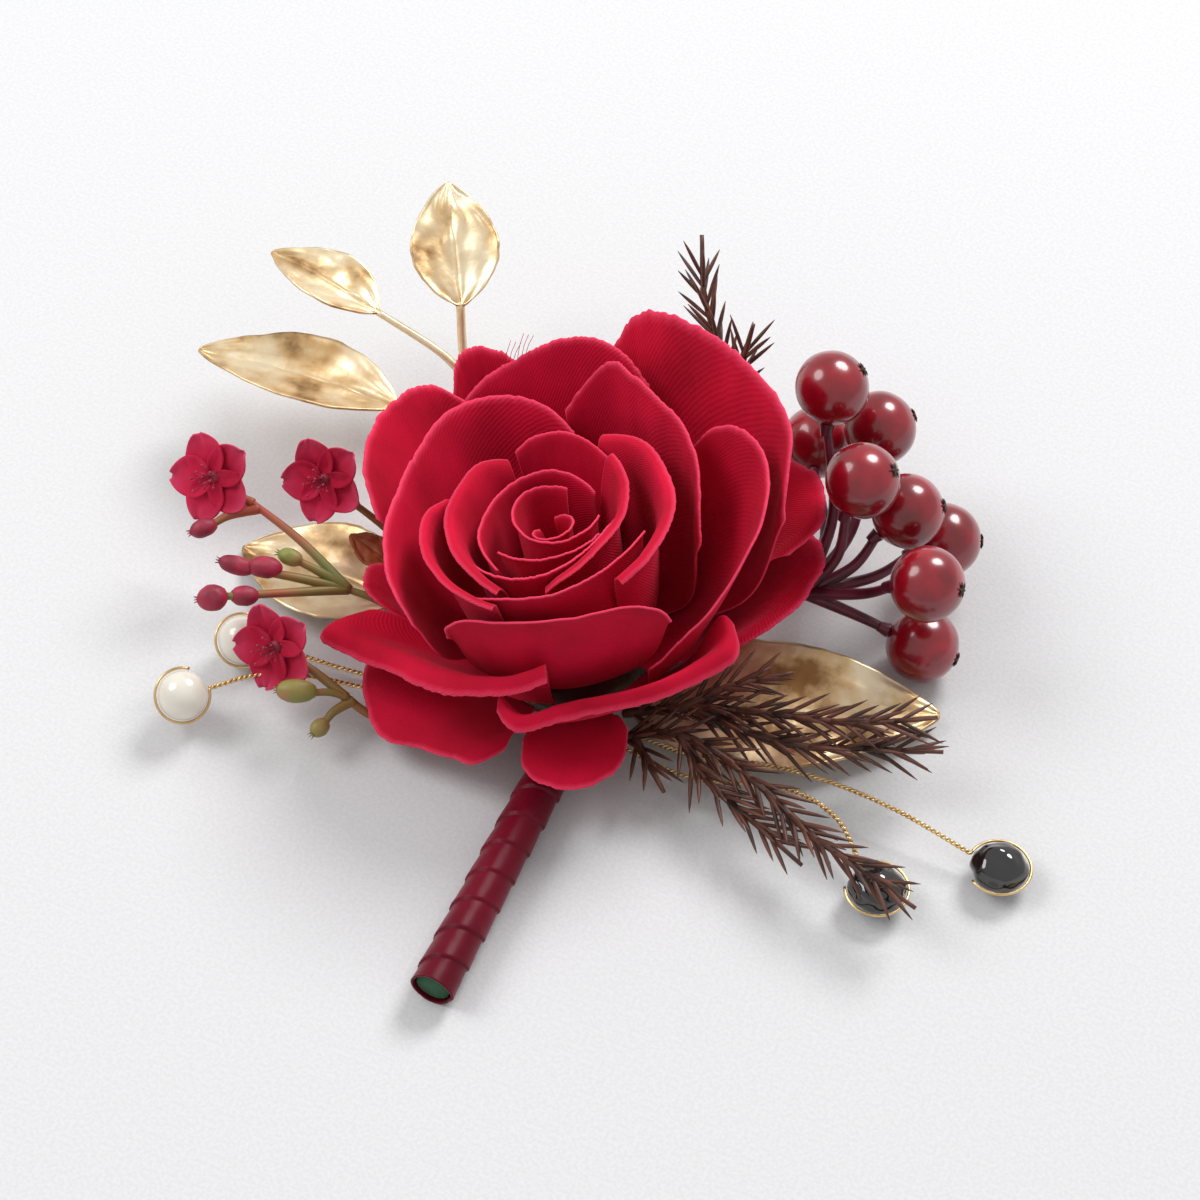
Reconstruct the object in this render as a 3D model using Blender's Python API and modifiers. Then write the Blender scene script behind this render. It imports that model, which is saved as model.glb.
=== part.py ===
"""A rose boutonniere lying on a table, modelled piece by piece for Blender 4.5.

Run with: blender --background --python part.py

A fabric rose, gilded leaves, lacquered berries, a blossom spray, needle sprigs, pearls and black
beads on gold wires meet in one taped joint under the rose, above a ribbon-wrapped stem.
Lengths below are in millimetres. The layout frame has +X across, +Y towards the gilded leaves
and +Z up from the table. One empty turns it so that the stem lies along Y, and centres it.
"""

import math

import bmesh
import bpy
from mathutils import Matrix, Vector

MM = 0.001

# The whole object
STEM_TURN = math.radians(23.5)
FRAME_SHIFT = Vector((-2.336, 12.009, -0.03))

# Stem
STEM_FOOT = Vector((-21.2, -64.6, 3.05))
STEM_TOP = Vector((-5.35, -28.3, 3.4))
RIBBON_RADIUS = 2.95
RIBBON_WALL = 0.5
RIBBON_TURNS = 11
RIBBON_STEP = 0.22
CORE_RADIUS = 2.1
PIECE_GAP = 0.32

# Taped joint under the rose
JOINT_CENTRE = Vector((-2.6, -21.6, 2.9))
JOINT_SEMI_AXES = Vector((4.2, 6.5, 2.4))

# Rose
ROSE_BASE = Vector((-3.0, -14.0, 8.0))
ROSE_AXIS = Vector((-0.16, 0.17, 0.97)).normalized()
PETAL_THICK = 0.45

# Berries
BERRY_RADIUS = 5.1
PEARL_RADIUS = 3.35
BEAD_SEMI_AXES = Vector((3.8, 3.4, 2.6))
WIRE_RADIUS = 0.42

COLOURS = {
    # name: (red, green, blue, roughness, metallic)
    "rose_fabric": (0.62, 0.01, 0.05, 0.85, 0.0),
    "calyx_green": (0.05, 0.19, 0.08, 0.6, 0.0),
    "floral_tape": (0.06, 0.22, 0.10, 0.7, 0.0),
    "satin_ribbon": (0.30, 0.01, 0.04, 0.45, 0.0),
    "gilded_leaf": (0.80, 0.62, 0.36, 0.35, 0.8),
    "berry_red": (0.45, 0.01, 0.03, 0.25, 0.0),
    "berry_stem": (0.13, 0.01, 0.03, 0.4, 0.0),
    "needle_brown": (0.09, 0.03, 0.02, 0.5, 0.0),
    "blossom_red": (0.55, 0.01, 0.06, 0.7, 0.0),
    "spray_stem": (0.28, 0.10, 0.04, 0.6, 0.0),
    "brown_leaf": (0.32, 0.08, 0.03, 0.6, 0.0),
    "pearl_white": (0.88, 0.85, 0.80, 0.2, 0.0),
    "gold_wire": (0.83, 0.60, 0.28, 0.3, 1.0),
    "black_bead": (0.01, 0.01, 0.012, 0.08, 0.0),
}


# ---------------------------------------------------------------- scene and materials

def clear_scene():
    for obj in list(bpy.data.objects):
        bpy.data.objects.remove(obj, do_unlink=True)


def make_material(name):
    red, green, blue, roughness, metallic = COLOURS[name]
    material = bpy.data.materials.new(name)
    material.use_nodes = True
    shader = material.node_tree.nodes["Principled BSDF"]
    shader.inputs["Base Color"].default_value = (red, green, blue, 1.0)
    shader.inputs["Roughness"].default_value = roughness
    shader.inputs["Metallic"].default_value = metallic
    return material


clear_scene()
MATERIALS = {name: make_material(name) for name in COLOURS}
PARTS = bpy.data.collections.new("boutonniere")
bpy.context.scene.collection.children.link(PARTS)
LAYOUT = bpy.data.objects.new("layout", None)
PARTS.objects.link(LAYOUT)
LAYOUT.rotation_euler.z = STEM_TURN
LAYOUT.location = FRAME_SHIFT * MM


def add_object(name, data, material, parent=LAYOUT):
    """Links an object that holds this mesh or curve, with its material, under its parent."""
    obj = bpy.data.objects.new(name, data)
    PARTS.objects.link(obj)
    obj.parent = parent
    if material:
        data.materials.append(MATERIALS[material])
    return obj


def mesh_from(shape):
    """A mesh from a bmesh made in millimetres, with its faces turned out."""
    bmesh.ops.scale(shape, vec=(MM, MM, MM), verts=shape.verts)
    bmesh.ops.recalc_face_normals(shape, faces=shape.faces)
    mesh = bpy.data.meshes.new("shape")
    shape.to_mesh(mesh)
    shape.free()
    mesh.shade_smooth()
    return mesh


def sheet(columns, rows, place):
    """An open grid surface. place(s, t) gives a point; s runs -1 to 1 and t runs 0 to 1."""
    shape = bmesh.new()
    bmesh.ops.create_grid(shape, x_segments=columns, y_segments=rows, size=1.0)
    for vertex in shape.verts:
        vertex.co = place(vertex.co.x, (vertex.co.y + 1.0) / 2.0)
    mesh = mesh_from(shape)
    return mesh


def thicken(obj, thickness):
    """Gives an open surface its wall, half to each side."""
    solid = obj.modifiers.new("wall", "SOLIDIFY")
    solid.thickness = thickness * MM
    solid.offset = 0.0
    solid.use_even_offset = False


def bezier(points, t):
    """A point on the cubic with these four control points."""
    u = 1.0 - t
    weights = (u * u * u, 3 * u * u * t, 3 * u * t * t, t * t * t)
    return sum((Vector(p) * w for p, w in zip(points, weights)), Vector((0.0,) * len(points[0])))


def smooth_line(points, steps):
    """Points along a Catmull-Rom curve through the given ones."""
    pts = [Vector(p) for p in points]
    pts = [2 * pts[0] - pts[1]] + pts + [2 * pts[-1] - pts[-2]]
    line = []
    for a, b, c, d in zip(pts, pts[1:], pts[2:], pts[3:]):
        for i in range(steps):
            t = i / steps
            line.append(0.5 * (2 * b + (c - a) * t + (2 * a - 5 * b + 4 * c - d) * t * t
                               + (3 * b - a - 3 * c + d) * t ** 3))
    line.append(pts[-2])
    return line


def tube(line, radii, sides_level=1):
    """A closed tube mesh object along a line, with a radius for each of its points."""
    curve = bpy.data.curves.new("tube", "CURVE")
    curve.dimensions = "3D"
    curve.bevel_depth = MM
    curve.bevel_resolution = sides_level
    curve.use_fill_caps = True
    spline = curve.splines.new("POLY")
    spline.points.add(len(line) - 1)
    for point, place, radius in zip(spline.points, line, radii):
        point.co = (*(Vector(place) * MM), 1.0)
        point.radius = radius
    holder = bpy.data.objects.new("tube", curve)
    PARTS.objects.link(holder)
    bpy.context.view_layer.update()
    graph = bpy.context.evaluated_depsgraph_get()
    mesh = bpy.data.meshes.new_from_object(holder.evaluated_get(graph))
    bpy.data.objects.remove(holder)
    shape = bmesh.new()
    shape.from_mesh(mesh)
    bmesh.ops.remove_doubles(shape, verts=shape.verts, dist=1e-6)
    bmesh.ops.recalc_face_normals(shape, faces=shape.faces)
    shape.to_mesh(mesh)
    shape.free()
    return mesh


def taper(count, first, last):
    return [first + (last - first) * i / (count - 1) for i in range(count)]


def strand(points, first, last, steps=4, sides_level=0):
    """A tapered tube along a smooth curve through these points."""
    line = smooth_line(points, steps)
    return tube(line, taper(len(line), first, last), sides_level)


def ball(centre, radius, columns=10, rows=6, stretch=1.0, along=Vector((0, 0, 1))):
    """A sphere, or an egg stretched along a direction, which its poles also follow."""
    shape = bmesh.new()
    bmesh.ops.create_uvsphere(shape, u_segments=columns, v_segments=rows, radius=radius)
    turn = Vector(along).to_track_quat("Z", "Y").to_matrix().to_4x4()
    size = Matrix.Diagonal((1.0, 1.0, stretch, 1.0))
    bmesh.ops.transform(shape, matrix=Matrix.Translation(centre) @ turn @ size, verts=shape.verts)
    return mesh_from(shape)


def fuse(name, meshes, material, parent=LAYOUT):
    """One body from meshes that overlap, joined by a Boolean union."""
    body = add_object(name, meshes[0], material, parent)
    if len(meshes) == 1:
        return body
    helpers = bpy.data.collections.new(name + "_pieces")
    bpy.context.scene.collection.children.link(helpers)
    matrix = body.matrix_basis.copy()
    body.parent = None
    for mesh in meshes[1:]:
        piece = bpy.data.objects.new(name + "_piece", mesh)
        helpers.objects.link(piece)
        piece.matrix_basis = matrix
    union = body.modifiers.new("union", "BOOLEAN")
    union.operation = "UNION"
    union.solver = "EXACT"
    union.operand_type = "COLLECTION"
    union.collection = helpers
    bpy.context.view_layer.update()
    graph = bpy.context.evaluated_depsgraph_get()
    joined = bpy.data.meshes.new_from_object(body.evaluated_get(graph))
    body.modifiers.clear()
    body.data = joined
    body.parent = parent
    joined.materials.clear()
    joined.materials.append(MATERIALS[material])
    for piece in list(helpers.objects):
        bpy.data.objects.remove(piece)
    bpy.data.collections.remove(helpers)
    return body


# ---------------------------------------------------------------- rose

def rose_empty():
    """The rose's own frame: its origin on the receptacle, its Z along the flower's axis."""
    empty = bpy.data.objects.new("rose_axis", None)
    PARTS.objects.link(empty)
    empty.parent = LAYOUT
    across = (Vector((1, 0, 0)) - ROSE_AXIS * ROSE_AXIS.x).normalized()
    back = ROSE_AXIS.cross(across)
    turn = Matrix((across, back, ROSE_AXIS)).transposed().to_4x4()
    empty.matrix_basis = Matrix.Translation(ROSE_BASE * MM) @ turn
    return empty


ROSE = rose_empty()

# Each petal: name; base (radius, height, azimuth half-span); belly (radius, height); over (radius,
# height), from the rim to the surface's last control, which makes the rim lean or roll outwards;
# rim, a row of (azimuth, radius, height) from its clockwise end to its anticlockwise end.
BUD_PETALS = [
    ("bud_petal_1", (2.0, 5.2, 140), (2.4, 10), (-0.4, -4),
     ((150, 1.6, 20.5), (220, 2.5, 21.8), (300, 2.8, 22.2), (380, 2.7, 22), (440, 2.2, 21))),
    ("bud_petal_2", (4.0, 5.2, 120), (4.6, 10), (-0.5, -4),
     ((70, 6.4, 22.5), (115, 6.2, 23.3), (160, 4.7, 23.5), (210, 4.1, 23.3), (250, 4.3, 23.2),
      (290, 5.2, 23.3), (325, 5.9, 23.4), (358, 6.3, 22.8))),
    ("bud_petal_4", (7.4, 5.2, 80), (8.0, 10), (-0.4, -5),
     ((48, 8.4, 21), (83, 9.6, 22.8), (110, 9.6, 23), (138, 8.8, 23), (165, 8.5, 23), (200, 9.2, 22.8),
      (226, 9.8, 21.5))),
    ("bud_petal_5", (8.6, 5.2, 85), (8.4, 10), (-2.6, 0.6),
     ((-92, 12.6, 21.6), (-81, 12.2, 23), (-57, 10.9, 24), (-35, 10.4, 24.4), (0, 10.4, 24.5),
      (25, 11.2, 24.5), (48, 12.6, 24.5))),
    ("bud_petal_6", (9.4, 4.2, 20), (11.8, 9), (-1.4, -3),
     ((54, 13.2, 22.5), (70, 14.4, 24.3), (85, 15.2, 24.7), (98, 15.2, 24.3), (108, 14.9, 23))),
    ("bud_petal_7", (9.2, 4.9, 60), (10.2, 9), (-2.8, 0.5),
     ((114, 13.6, 23), (128, 14.2, 24.2), (150, 13.2, 24.6), (178, 13, 24.6), (203, 13.2, 24.4),
      (225, 13.9, 23.8), (243, 14.3, 22.4))),
    ("bud_petal_8", (10.2, 3.6, 40), (14.6, 9), (-2.2, 0.2),
     ((152, 15.6, 22), (168, 16.3, 23.5), (184, 16.6, 24), (205, 16.8, 24), (225, 17.2, 23.8),
      (246, 17.2, 22.6))),
    ("bud_petal_9", (10.2, 3.6, 52), (14.0, 9), (-3.8, 1.0),
     ((-56, 16.6, 22.6), (-46, 17.4, 24), (-33, 17.3, 24.6), (-12, 16.8, 24.9), (8, 16.2, 25),
      (26, 16.2, 25), (44, 16.6, 24.8), (64, 16.2, 23.6))),
]
CUP_PETALS = [
    ("front_petal", (10.4, 2.9, 40), (16.6, 5), (-2.0, -3.5),
     ((214, 17.8, 13.5), (220, 18.2, 17), (233, 17.5, 19.6), (257, 17.0, 20.6), (281, 17.2, 20.8),
      (300, 18.6, 20.8), (309, 21.0, 20.0), (315, 20.6, 16))),
    ("left_petal", (10.4, 2.9, 44), (17.4, 5), (-2.6, -9),
     ((80, 17.6, 22.5), (93, 22.0, 24.5), (107, 24.6, 25.6), (124, 24.5, 26), (142, 22.4, 25),
      (160, 21.2, 24.4), (185, 21.4, 24), (203, 21.8, 21.8), (213, 21.6, 18))),
    ("right_petal", (10.4, 2.9, 34), (18.2, 5), (-1.8, -8),
     ((-10, 18.8, 18), (2, 19.6, 23), (20, 20.2, 26.6), (44, 21.0, 28.4), (58, 22.6, 29.4),
      (69, 24.0, 29.6), (84, 20.6, 24))),
    ("back_petal", (10.6, 1.7, 34), (22, 3), (-3, -8),
     ((60, 27, 24), (68, 28.8, 27), (78, 30.2, 28.6), (88, 30, 28.6), (98, 28.8, 27.4),
      (109, 28.4, 25.6), (122, 27.6, 21))),
    ("right_front_petal", (10.6, 1.7, 30), (18, 3.5), (-3, -7.5),
     ((-53, 17.6, 8), (-45, 20, 11), (-35, 23.2, 15), (-20, 26.5, 20.6), (-8, 28.2, 23.8),
      (5, 28.5, 25.6), (17, 27.4, 26.8), (27, 25, 25.4), (34, 22.8, 21.5))),
    ("tall_petal", (10.8, 0.5, 26), (25, 0.5), (-4, -12),
     ((-5, 30, 20), (2, 31.4, 25.4), (14, 32.6, 28.6), (31, 32.4, 30.6), (48, 32.6, 31.6),
      (61, 33.4, 31.6), (69, 34, 29.4), (75, 33.4, 24))),
]
OUTER_PETALS = [
    ("left_outer_petal", (10.8, 0.5, 22), (23, 0.5), (-5, -6),
     ((111, 31.5, 19.5), (117, 37, 21.2), (124, 38, 21.6), (133, 36.2, 21.2), (144, 31.6, 20.4),
      (155, 27, 17))),
    ("back_left_petal", (10.8, -0.9, 12), (27, 0), (-4, -9),
     ((95, 33, 19), (100, 36.2, 23), (106, 38.6, 24), (111, 37.8, 22.6), (115, 34, 17.5))),
    ("right_upper_petal", (10.6, -1.4, 16), (22, -1), (-7, 0),
     ((8, 30, 8), (14, 35.2, 9.4), (21, 37.4, 10.2), (29, 37.8, 10.6), (37, 35.6, 10.4), (46, 30, 8))),
    ("right_lower_petal", (10.4, -2.8, 16), (20, -4.5), (-7, -0.5),
     ((-12, 22, 1), (-6, 27.4, 2.8), (1, 31.6, 4), (10, 34.2, 5), (19, 34.2, 5), (27, 30, 3.6))),
    ("left_lower_petal", (10.6, -1.2, 10), (18, -1.6), (-5, -3),
     ((147, 23, 3), (151, 28, 6.4), (156, 30, 8), (163, 29.2, 8.4), (169, 26, 7.4),
      (172, 22, 5))),
    ("front_left_petal", (10.6, 0.5, 34), (17, 2), (-3, 6),
     ((177, 28, 8), (181, 33.4, 7.8), (189, 29.4, 7.2), (200, 25.2, 7.4), (214, 23, 8.4),
      (232, 21.5, 9.8), (250, 20.5, 11), (265, 19.6, 12.6))),
    ("front_right_petal", (10.6, -0.9, 36), (20, 0), (-1.6, 6),
     ((243, 20, 7), (252, 21.6, 5.6), (268, 20.6, 6.6), (285, 21.2, 7.2), (302, 23.6, 8),
      (315, 25.2, 8.5), (326, 26.6, 9.2), (333, 24.6, 10.8))),
    ("under_left_petal", (10.2, -2.9, 28), (16, -2.6), (-4, 1.6),
     ((172, 23, 0.8), (180, 28.4, 1.2), (193, 29, -0.4), (204, 28.8, -1.4), (213, 25.8, -1.6),
      (224, 23.4, -1.8), (232, 22.6, -2), (238, 18.6, -2))),
    ("under_front_petal", (10.2, -3.0, 22), (14.5, -2.8), (-3.5, 1.2),
     ((242, 16, -2.4), (249, 20.4, -2.9), (260, 22.6, -3.2), (272, 22.8, -3.2), (284, 20.8, -2.8),
      (293, 15.6, -2.2))),
]


def along_row(row, u):
    """A point on the smooth curve through a row of points, u running from 0 to 1."""
    place = u * (len(row) - 1)
    i = min(int(place), len(row) - 2)
    t = place - i
    a, b, c, d = (Vector(row[max(0, min(len(row) - 1, k))]) for k in (i - 1, i, i + 1, i + 2))
    return 0.5 * (2 * b + (c - a) * t + (2 * a - 5 * b + 4 * c - d) * t * t
                  + (3 * b - a - 3 * c + d) * t ** 3)


def petal_surface(base, belly, over, rim):
    """place(s, t) for a petal round the rose's axis, from its base at t = 0 to its rim at t = 1."""
    middle = (rim[0][0] + rim[-1][0]) / 2

    def place(s, t):
        azimuth, radius, height = along_row(rim, (s + 1) / 2)
        controls = (base[:2], belly, (radius + over[0], height + over[1]), (radius, height))
        r, z = bezier(controls, t)
        start = middle + s * base[2]
        angle = math.radians(start + (azimuth - start) * (1 - (1 - t) ** 2))
        return Vector((r * math.cos(angle), r * math.sin(angle), z))
    return place


def add_petal(spec, columns, rows):
    name, base, belly, over, rim = spec
    mesh = sheet(columns, rows, petal_surface(base, belly, over, rim))
    obj = add_object(name, mesh, "rose_fabric", ROSE)
    thicken(obj, PETAL_THICK)


def add_rose():
    for spec in BUD_PETALS:
        add_petal(spec, 9, 4)
    for spec in CUP_PETALS:
        add_petal(spec, 8, 4)
    for spec in OUTER_PETALS:
        add_petal(spec, 8, 4)


def turned(name, profile, material, parent, steps):
    """A body turned about its parent's Z from (radius, height) points that run from top to bottom."""
    mesh = bpy.data.meshes.new(name)
    points = [(r * MM, 0.0, z * MM) for r, z in profile]
    mesh.from_pydata(points, [(i, i + 1) for i in range(len(points) - 1)], [])
    obj = add_object(name, mesh, material, parent)
    screw = obj.modifiers.new("turn", "SCREW")
    screw.axis = "Z"
    screw.angle = 2 * math.pi
    screw.steps = steps
    screw.render_steps = steps
    screw.use_merge_vertices = True
    screw.merge_threshold = 1e-5
    return obj


def add_receptacle():
    """The plastic cup that the petals are threaded on, under a post inside the bud."""
    turned("rose_receptacle",
           [(0.0, 4.6), (1.2, 4.5), (1.3, 4.4), (9.6, 2.4), (9.8, 1.6), (9.8, -2.6), (9.2, -3.4),
            (0.0, -3.5)], "calyx_green", ROSE, 16)


# ---------------------------------------------------------------- stem, ribbon and joint

def stem_frame():
    """The stem's direction and the two directions across it, the second one nearly up."""
    along = (STEM_TOP - STEM_FOOT).normalized()
    side = along.cross(Vector((0, 0, 1))).normalized()
    return along, side, side.cross(along)


def add_stem():
    along, side, up = stem_frame()
    length = (STEM_TOP - STEM_FOOT).length
    turn = Matrix((side, up, along)).transposed().to_4x4()
    empty = bpy.data.objects.new("stem_axis", None)
    PARTS.objects.link(empty)
    empty.parent = LAYOUT
    empty.matrix_basis = Matrix.Translation(STEM_FOOT * MM) @ turn
    turn_length = length / RIBBON_TURNS
    inner = RIBBON_RADIUS - RIBBON_WALL
    outer = [(RIBBON_RADIUS, length)]
    for i in reversed(range(RIBBON_TURNS)):
        outer.append((RIBBON_RADIUS - RIBBON_STEP, (i + 1) * turn_length - 0.05))
        outer.append((RIBBON_RADIUS, i * turn_length))
    profile = outer + [(inner, 0.0), (inner, length), (RIBBON_RADIUS, length)]
    turned("ribbon_wrap", profile, "satin_ribbon", empty, 12)
    line = [STEM_FOOT + along * 0.8, STEM_TOP - along * 0.2]
    add_object("stem_core", tube(line, [CORE_RADIUS, CORE_RADIUS], 2), "floral_tape")


def add_joint():
    """The lump of floral tape that binds every stem and wire under the rose."""
    shape = bmesh.new()
    bmesh.ops.create_uvsphere(shape, u_segments=14, v_segments=8, radius=1.0)
    along = stem_frame()[0]
    turn = Matrix.Rotation(-math.atan2(along.x, along.y), 4, "Z")
    size = Matrix.Diagonal((*JOINT_SEMI_AXES, 1.0))
    bmesh.ops.transform(shape, matrix=Matrix.Translation(JOINT_CENTRE) @ turn @ size,
                        verts=shape.verts)
    add_object("taped_joint", mesh_from(shape), "floral_tape")


# ---------------------------------------------------------------- leaves

def leaf_surface(base, tip, width, tilt, cup, arch):
    """place(s, t) for a pointed leaf from base to tip. tilt turns it about its own midrib, cup
    lifts its sides and arch lifts its middle."""
    base = Vector(base)
    tip = Vector(tip)
    along = tip - base
    side = along.cross(Vector((0, 0, 1))).normalized()
    side = Matrix.Rotation(math.radians(tilt), 3, along.normalized()) @ side
    normal = side.cross(along).normalized()

    def place(s, t):
        half = width / 2 * (math.sin(math.pi * t ** 0.85) ** 0.8 * 0.97 + 0.03)
        point = base + along * t + side * (s * half)
        return point + normal * (cup * s * s * half / (width / 2) + arch * 4 * t * (1 - t))
    return place


LEAVES = [
    # name, base, tip, width, tilt, cup, arch, material
    ("gold_leaf_left", (-28.6, 24.8, 12.5), (-56.9, 34.2, 14), 15.0, 12, 1.6, 0.8, "gilded_leaf"),
    ("gold_leaf_middle", (-31.6, 38.2, 17.6), (-46.9, 47.5, 20), 11.0, 10, 1.2, 0.5, "gilded_leaf"),
    ("gold_leaf_top", (-19.7, 38.0, 19.0), (-21.8, 54.5, 27), 12.6, 0, 1.2, 0.5, "gilded_leaf"),
    ("gold_leaf_low_left", (-27.2, -3.0, 4.0), (-50.0, 8.6, 1.0), 17.0, 0, 1.0, 0.5, "gilded_leaf"),
    ("gold_leaf_right", (4.4, -20.2, 1.5), (45.5, -21.5, 2.4), 20.0, 6, 1.4, 1.0, "gilded_leaf"),
    ("brown_leaf_left", (-29.0, 1.2, 6.6), (-34.4, 4.8, 8.2), 5.0, 0, 0.3, 0.3, "brown_leaf"),
]
LEAF_THICK = 0.6


def add_leaves():
    for name, base, tip, width, tilt, cup, arch, material in LEAVES:
        mesh = sheet(4, 8, leaf_surface(base, tip, width, tilt, cup, arch))
        obj = add_object(name, mesh, material)
        thicken(obj, LEAF_THICK)


def add_gold_stem():
    fuse("gold_sprig_stem", [
        strand([(-1.0, -14.2, 1.5), (-6, -6, 1.0), (-12, 7, 1.0), (-16, 22, 2.6), (-19.2, 33, 12),
                (-19.6, 37.4, 18.0)], 0.9, 0.7, 3),
        strand([(-18.6, 31.4, 10.4), (-23, 34, 14), (-31.0, 37.9, 17.2)], 0.75, 0.6, 3),
        strand([(-16.2, 22.4, 2.9), (-20, 23.5, 9), (-28.0, 24.6, 12.1)], 0.75, 0.6, 3),
        strand([(-6.6, -4.6, 1.0), (-16, -3.6, 1.1), (-26.7, -3.1, 3.5)], 0.7, 0.6, 3),
    ], "gilded_leaf")


# ---------------------------------------------------------------- berries

BERRIES = [
    # centre, where its stem leaves the cluster's own stem
    (31.2, 13.5, 29.0), (38.4, 15.1, 19.0), (30.3, 18.6, 12.0), (34.7, -1.1, 27.0),
    (41.4, 0.7, 18.5), (47.4, 3.4, 9.0), (43.1, -12.6, 19.5), (43.6, -12.0, 5.4),
]
BERRY_HUB = Vector((27.4, -7.0, 10.6))


def add_berries():
    stems = [strand([(3.4, -18.0, 3.8), (12, -13.6, 5.4), (19, -10.4, 6.8), BERRY_HUB], 1.0, 1.1, 3)]
    for i, centre in enumerate(BERRIES):
        centre = Vector(centre)
        add_object(f"berry_{i + 1}", ball(centre, BERRY_RADIUS), "berry_red")
        reach = centre - BERRY_HUB
        end = centre - reach.normalized() * (BERRY_RADIUS + PIECE_GAP)
        middle = BERRY_HUB + (end - BERRY_HUB) * 0.5 + Vector((0.09, 0, -0.05)) * reach.length
        stems.append(strand([BERRY_HUB, middle, end], 0.9, 0.75, 2))
    fuse("berry_stems", stems, "berry_stem")


# ---------------------------------------------------------------- needle sprigs

NEEDLE_LEAN = math.radians(36)
NEEDLE_LENGTH = 5.0
NEEDLE_ROLLS = (0, 180, 60, 120, 20, 160, 90)
SPRIGS = [
    # name, paths: each a row of points along one twig, then the step between its needles
    ("needle_sprig_top", [
        (((17.5, 10, 5.0), (20, 20, 9.5), (18.0, 27, 16), (14.7, 34.5, 24), (14.2, 41.2, 30)), 5.4),
        (((18.6, 25, 14.5), (20, 27, 20), (21.2, 28.4, 25.5)), 3.6),
    ]),
    ("needle_sprig_right", [
        (((3.2, -22.2, 3.8), (13.2, -24.6, 8.5), (24, -27.5, 10.6), (34, -29.4, 11.6),
          (44, -28.8, 12)), 5.4),
        (((12.0, -24.4, 8.0), (24, -30.5, 8.6), (35, -31.4, 8.6), (44.8, -32.2, 9)), 7.0),
        (((11, -24.0, 7.6), (17, -23.4, 11.5), (25.4, -22.4, 13.2)), 4.2),
    ]),
    ("needle_sprig_front", [
        (((2.0, -26.0, 3.6), (11.0, -28.6, 7.6), (20, -36.5, 8.6), (27, -45, 8.8), (33.5, -50.4, 8.6),
          (39.8, -55.6, 8)), 5.2),
        (((10.4, -28.2, 7.4), (14, -35, 6.6), (20, -41, 5.6), (26, -46.8, 4.4)), 4.6),
        (((4.6, -26.8, 4.6), (6.4, -31, 4.6), (8.4, -35, 3.8)), 3.4),
    ]),
]


def needles(path, step):
    """Small blades that lean out from a twig, each at the next of a set of rolls about it."""
    line = smooth_line(path, 8)
    found = []
    walked = 0.0
    for a, b in zip(line, line[1:]):
        walked += (b - a).length
        if walked < step * (len(found) + 1) or a.z < 5.6:
            continue
        along = (b - a).normalized()
        side = along.cross(Vector((0, 0, 1))).normalized()
        roll = math.radians(NEEDLE_ROLLS[len(found) % len(NEEDLE_ROLLS)])
        out = side * math.cos(roll) + side.cross(along) * math.sin(roll)
        aim = along * math.cos(NEEDLE_LEAN) + out * math.sin(NEEDLE_LEAN)
        found.append(tube([b, b + aim * NEEDLE_LENGTH * 0.6, b + aim * NEEDLE_LENGTH],
                          [0.5, 0.42, 0.12], 0))
    return found


def add_sprigs():
    for name, paths in SPRIGS:
        pieces = []
        for path, step in paths:
            pieces.append(strand(path, 0.75, 0.4, 3))
            pieces += needles(path, step)
        fuse(name, pieces, "needle_brown")


# ---------------------------------------------------------------- blossom spray

def lens(centre, normal, along, semi_axes, columns=6, rows=4):
    """An ellipsoid with its first semi-axis along a direction and its last near a normal."""
    along = Vector(along).normalized()
    side = Vector(normal).cross(along).normalized()
    turn = Matrix((along, side, along.cross(side))).transposed().to_4x4()
    shape = bmesh.new()
    bmesh.ops.create_uvsphere(shape, u_segments=columns, v_segments=rows, radius=1.0)
    size = Matrix.Diagonal((*semi_axes, 1.0))
    bmesh.ops.transform(shape, matrix=Matrix.Translation(centre) @ turn @ size, verts=shape.verts)
    return mesh_from(shape)


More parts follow.
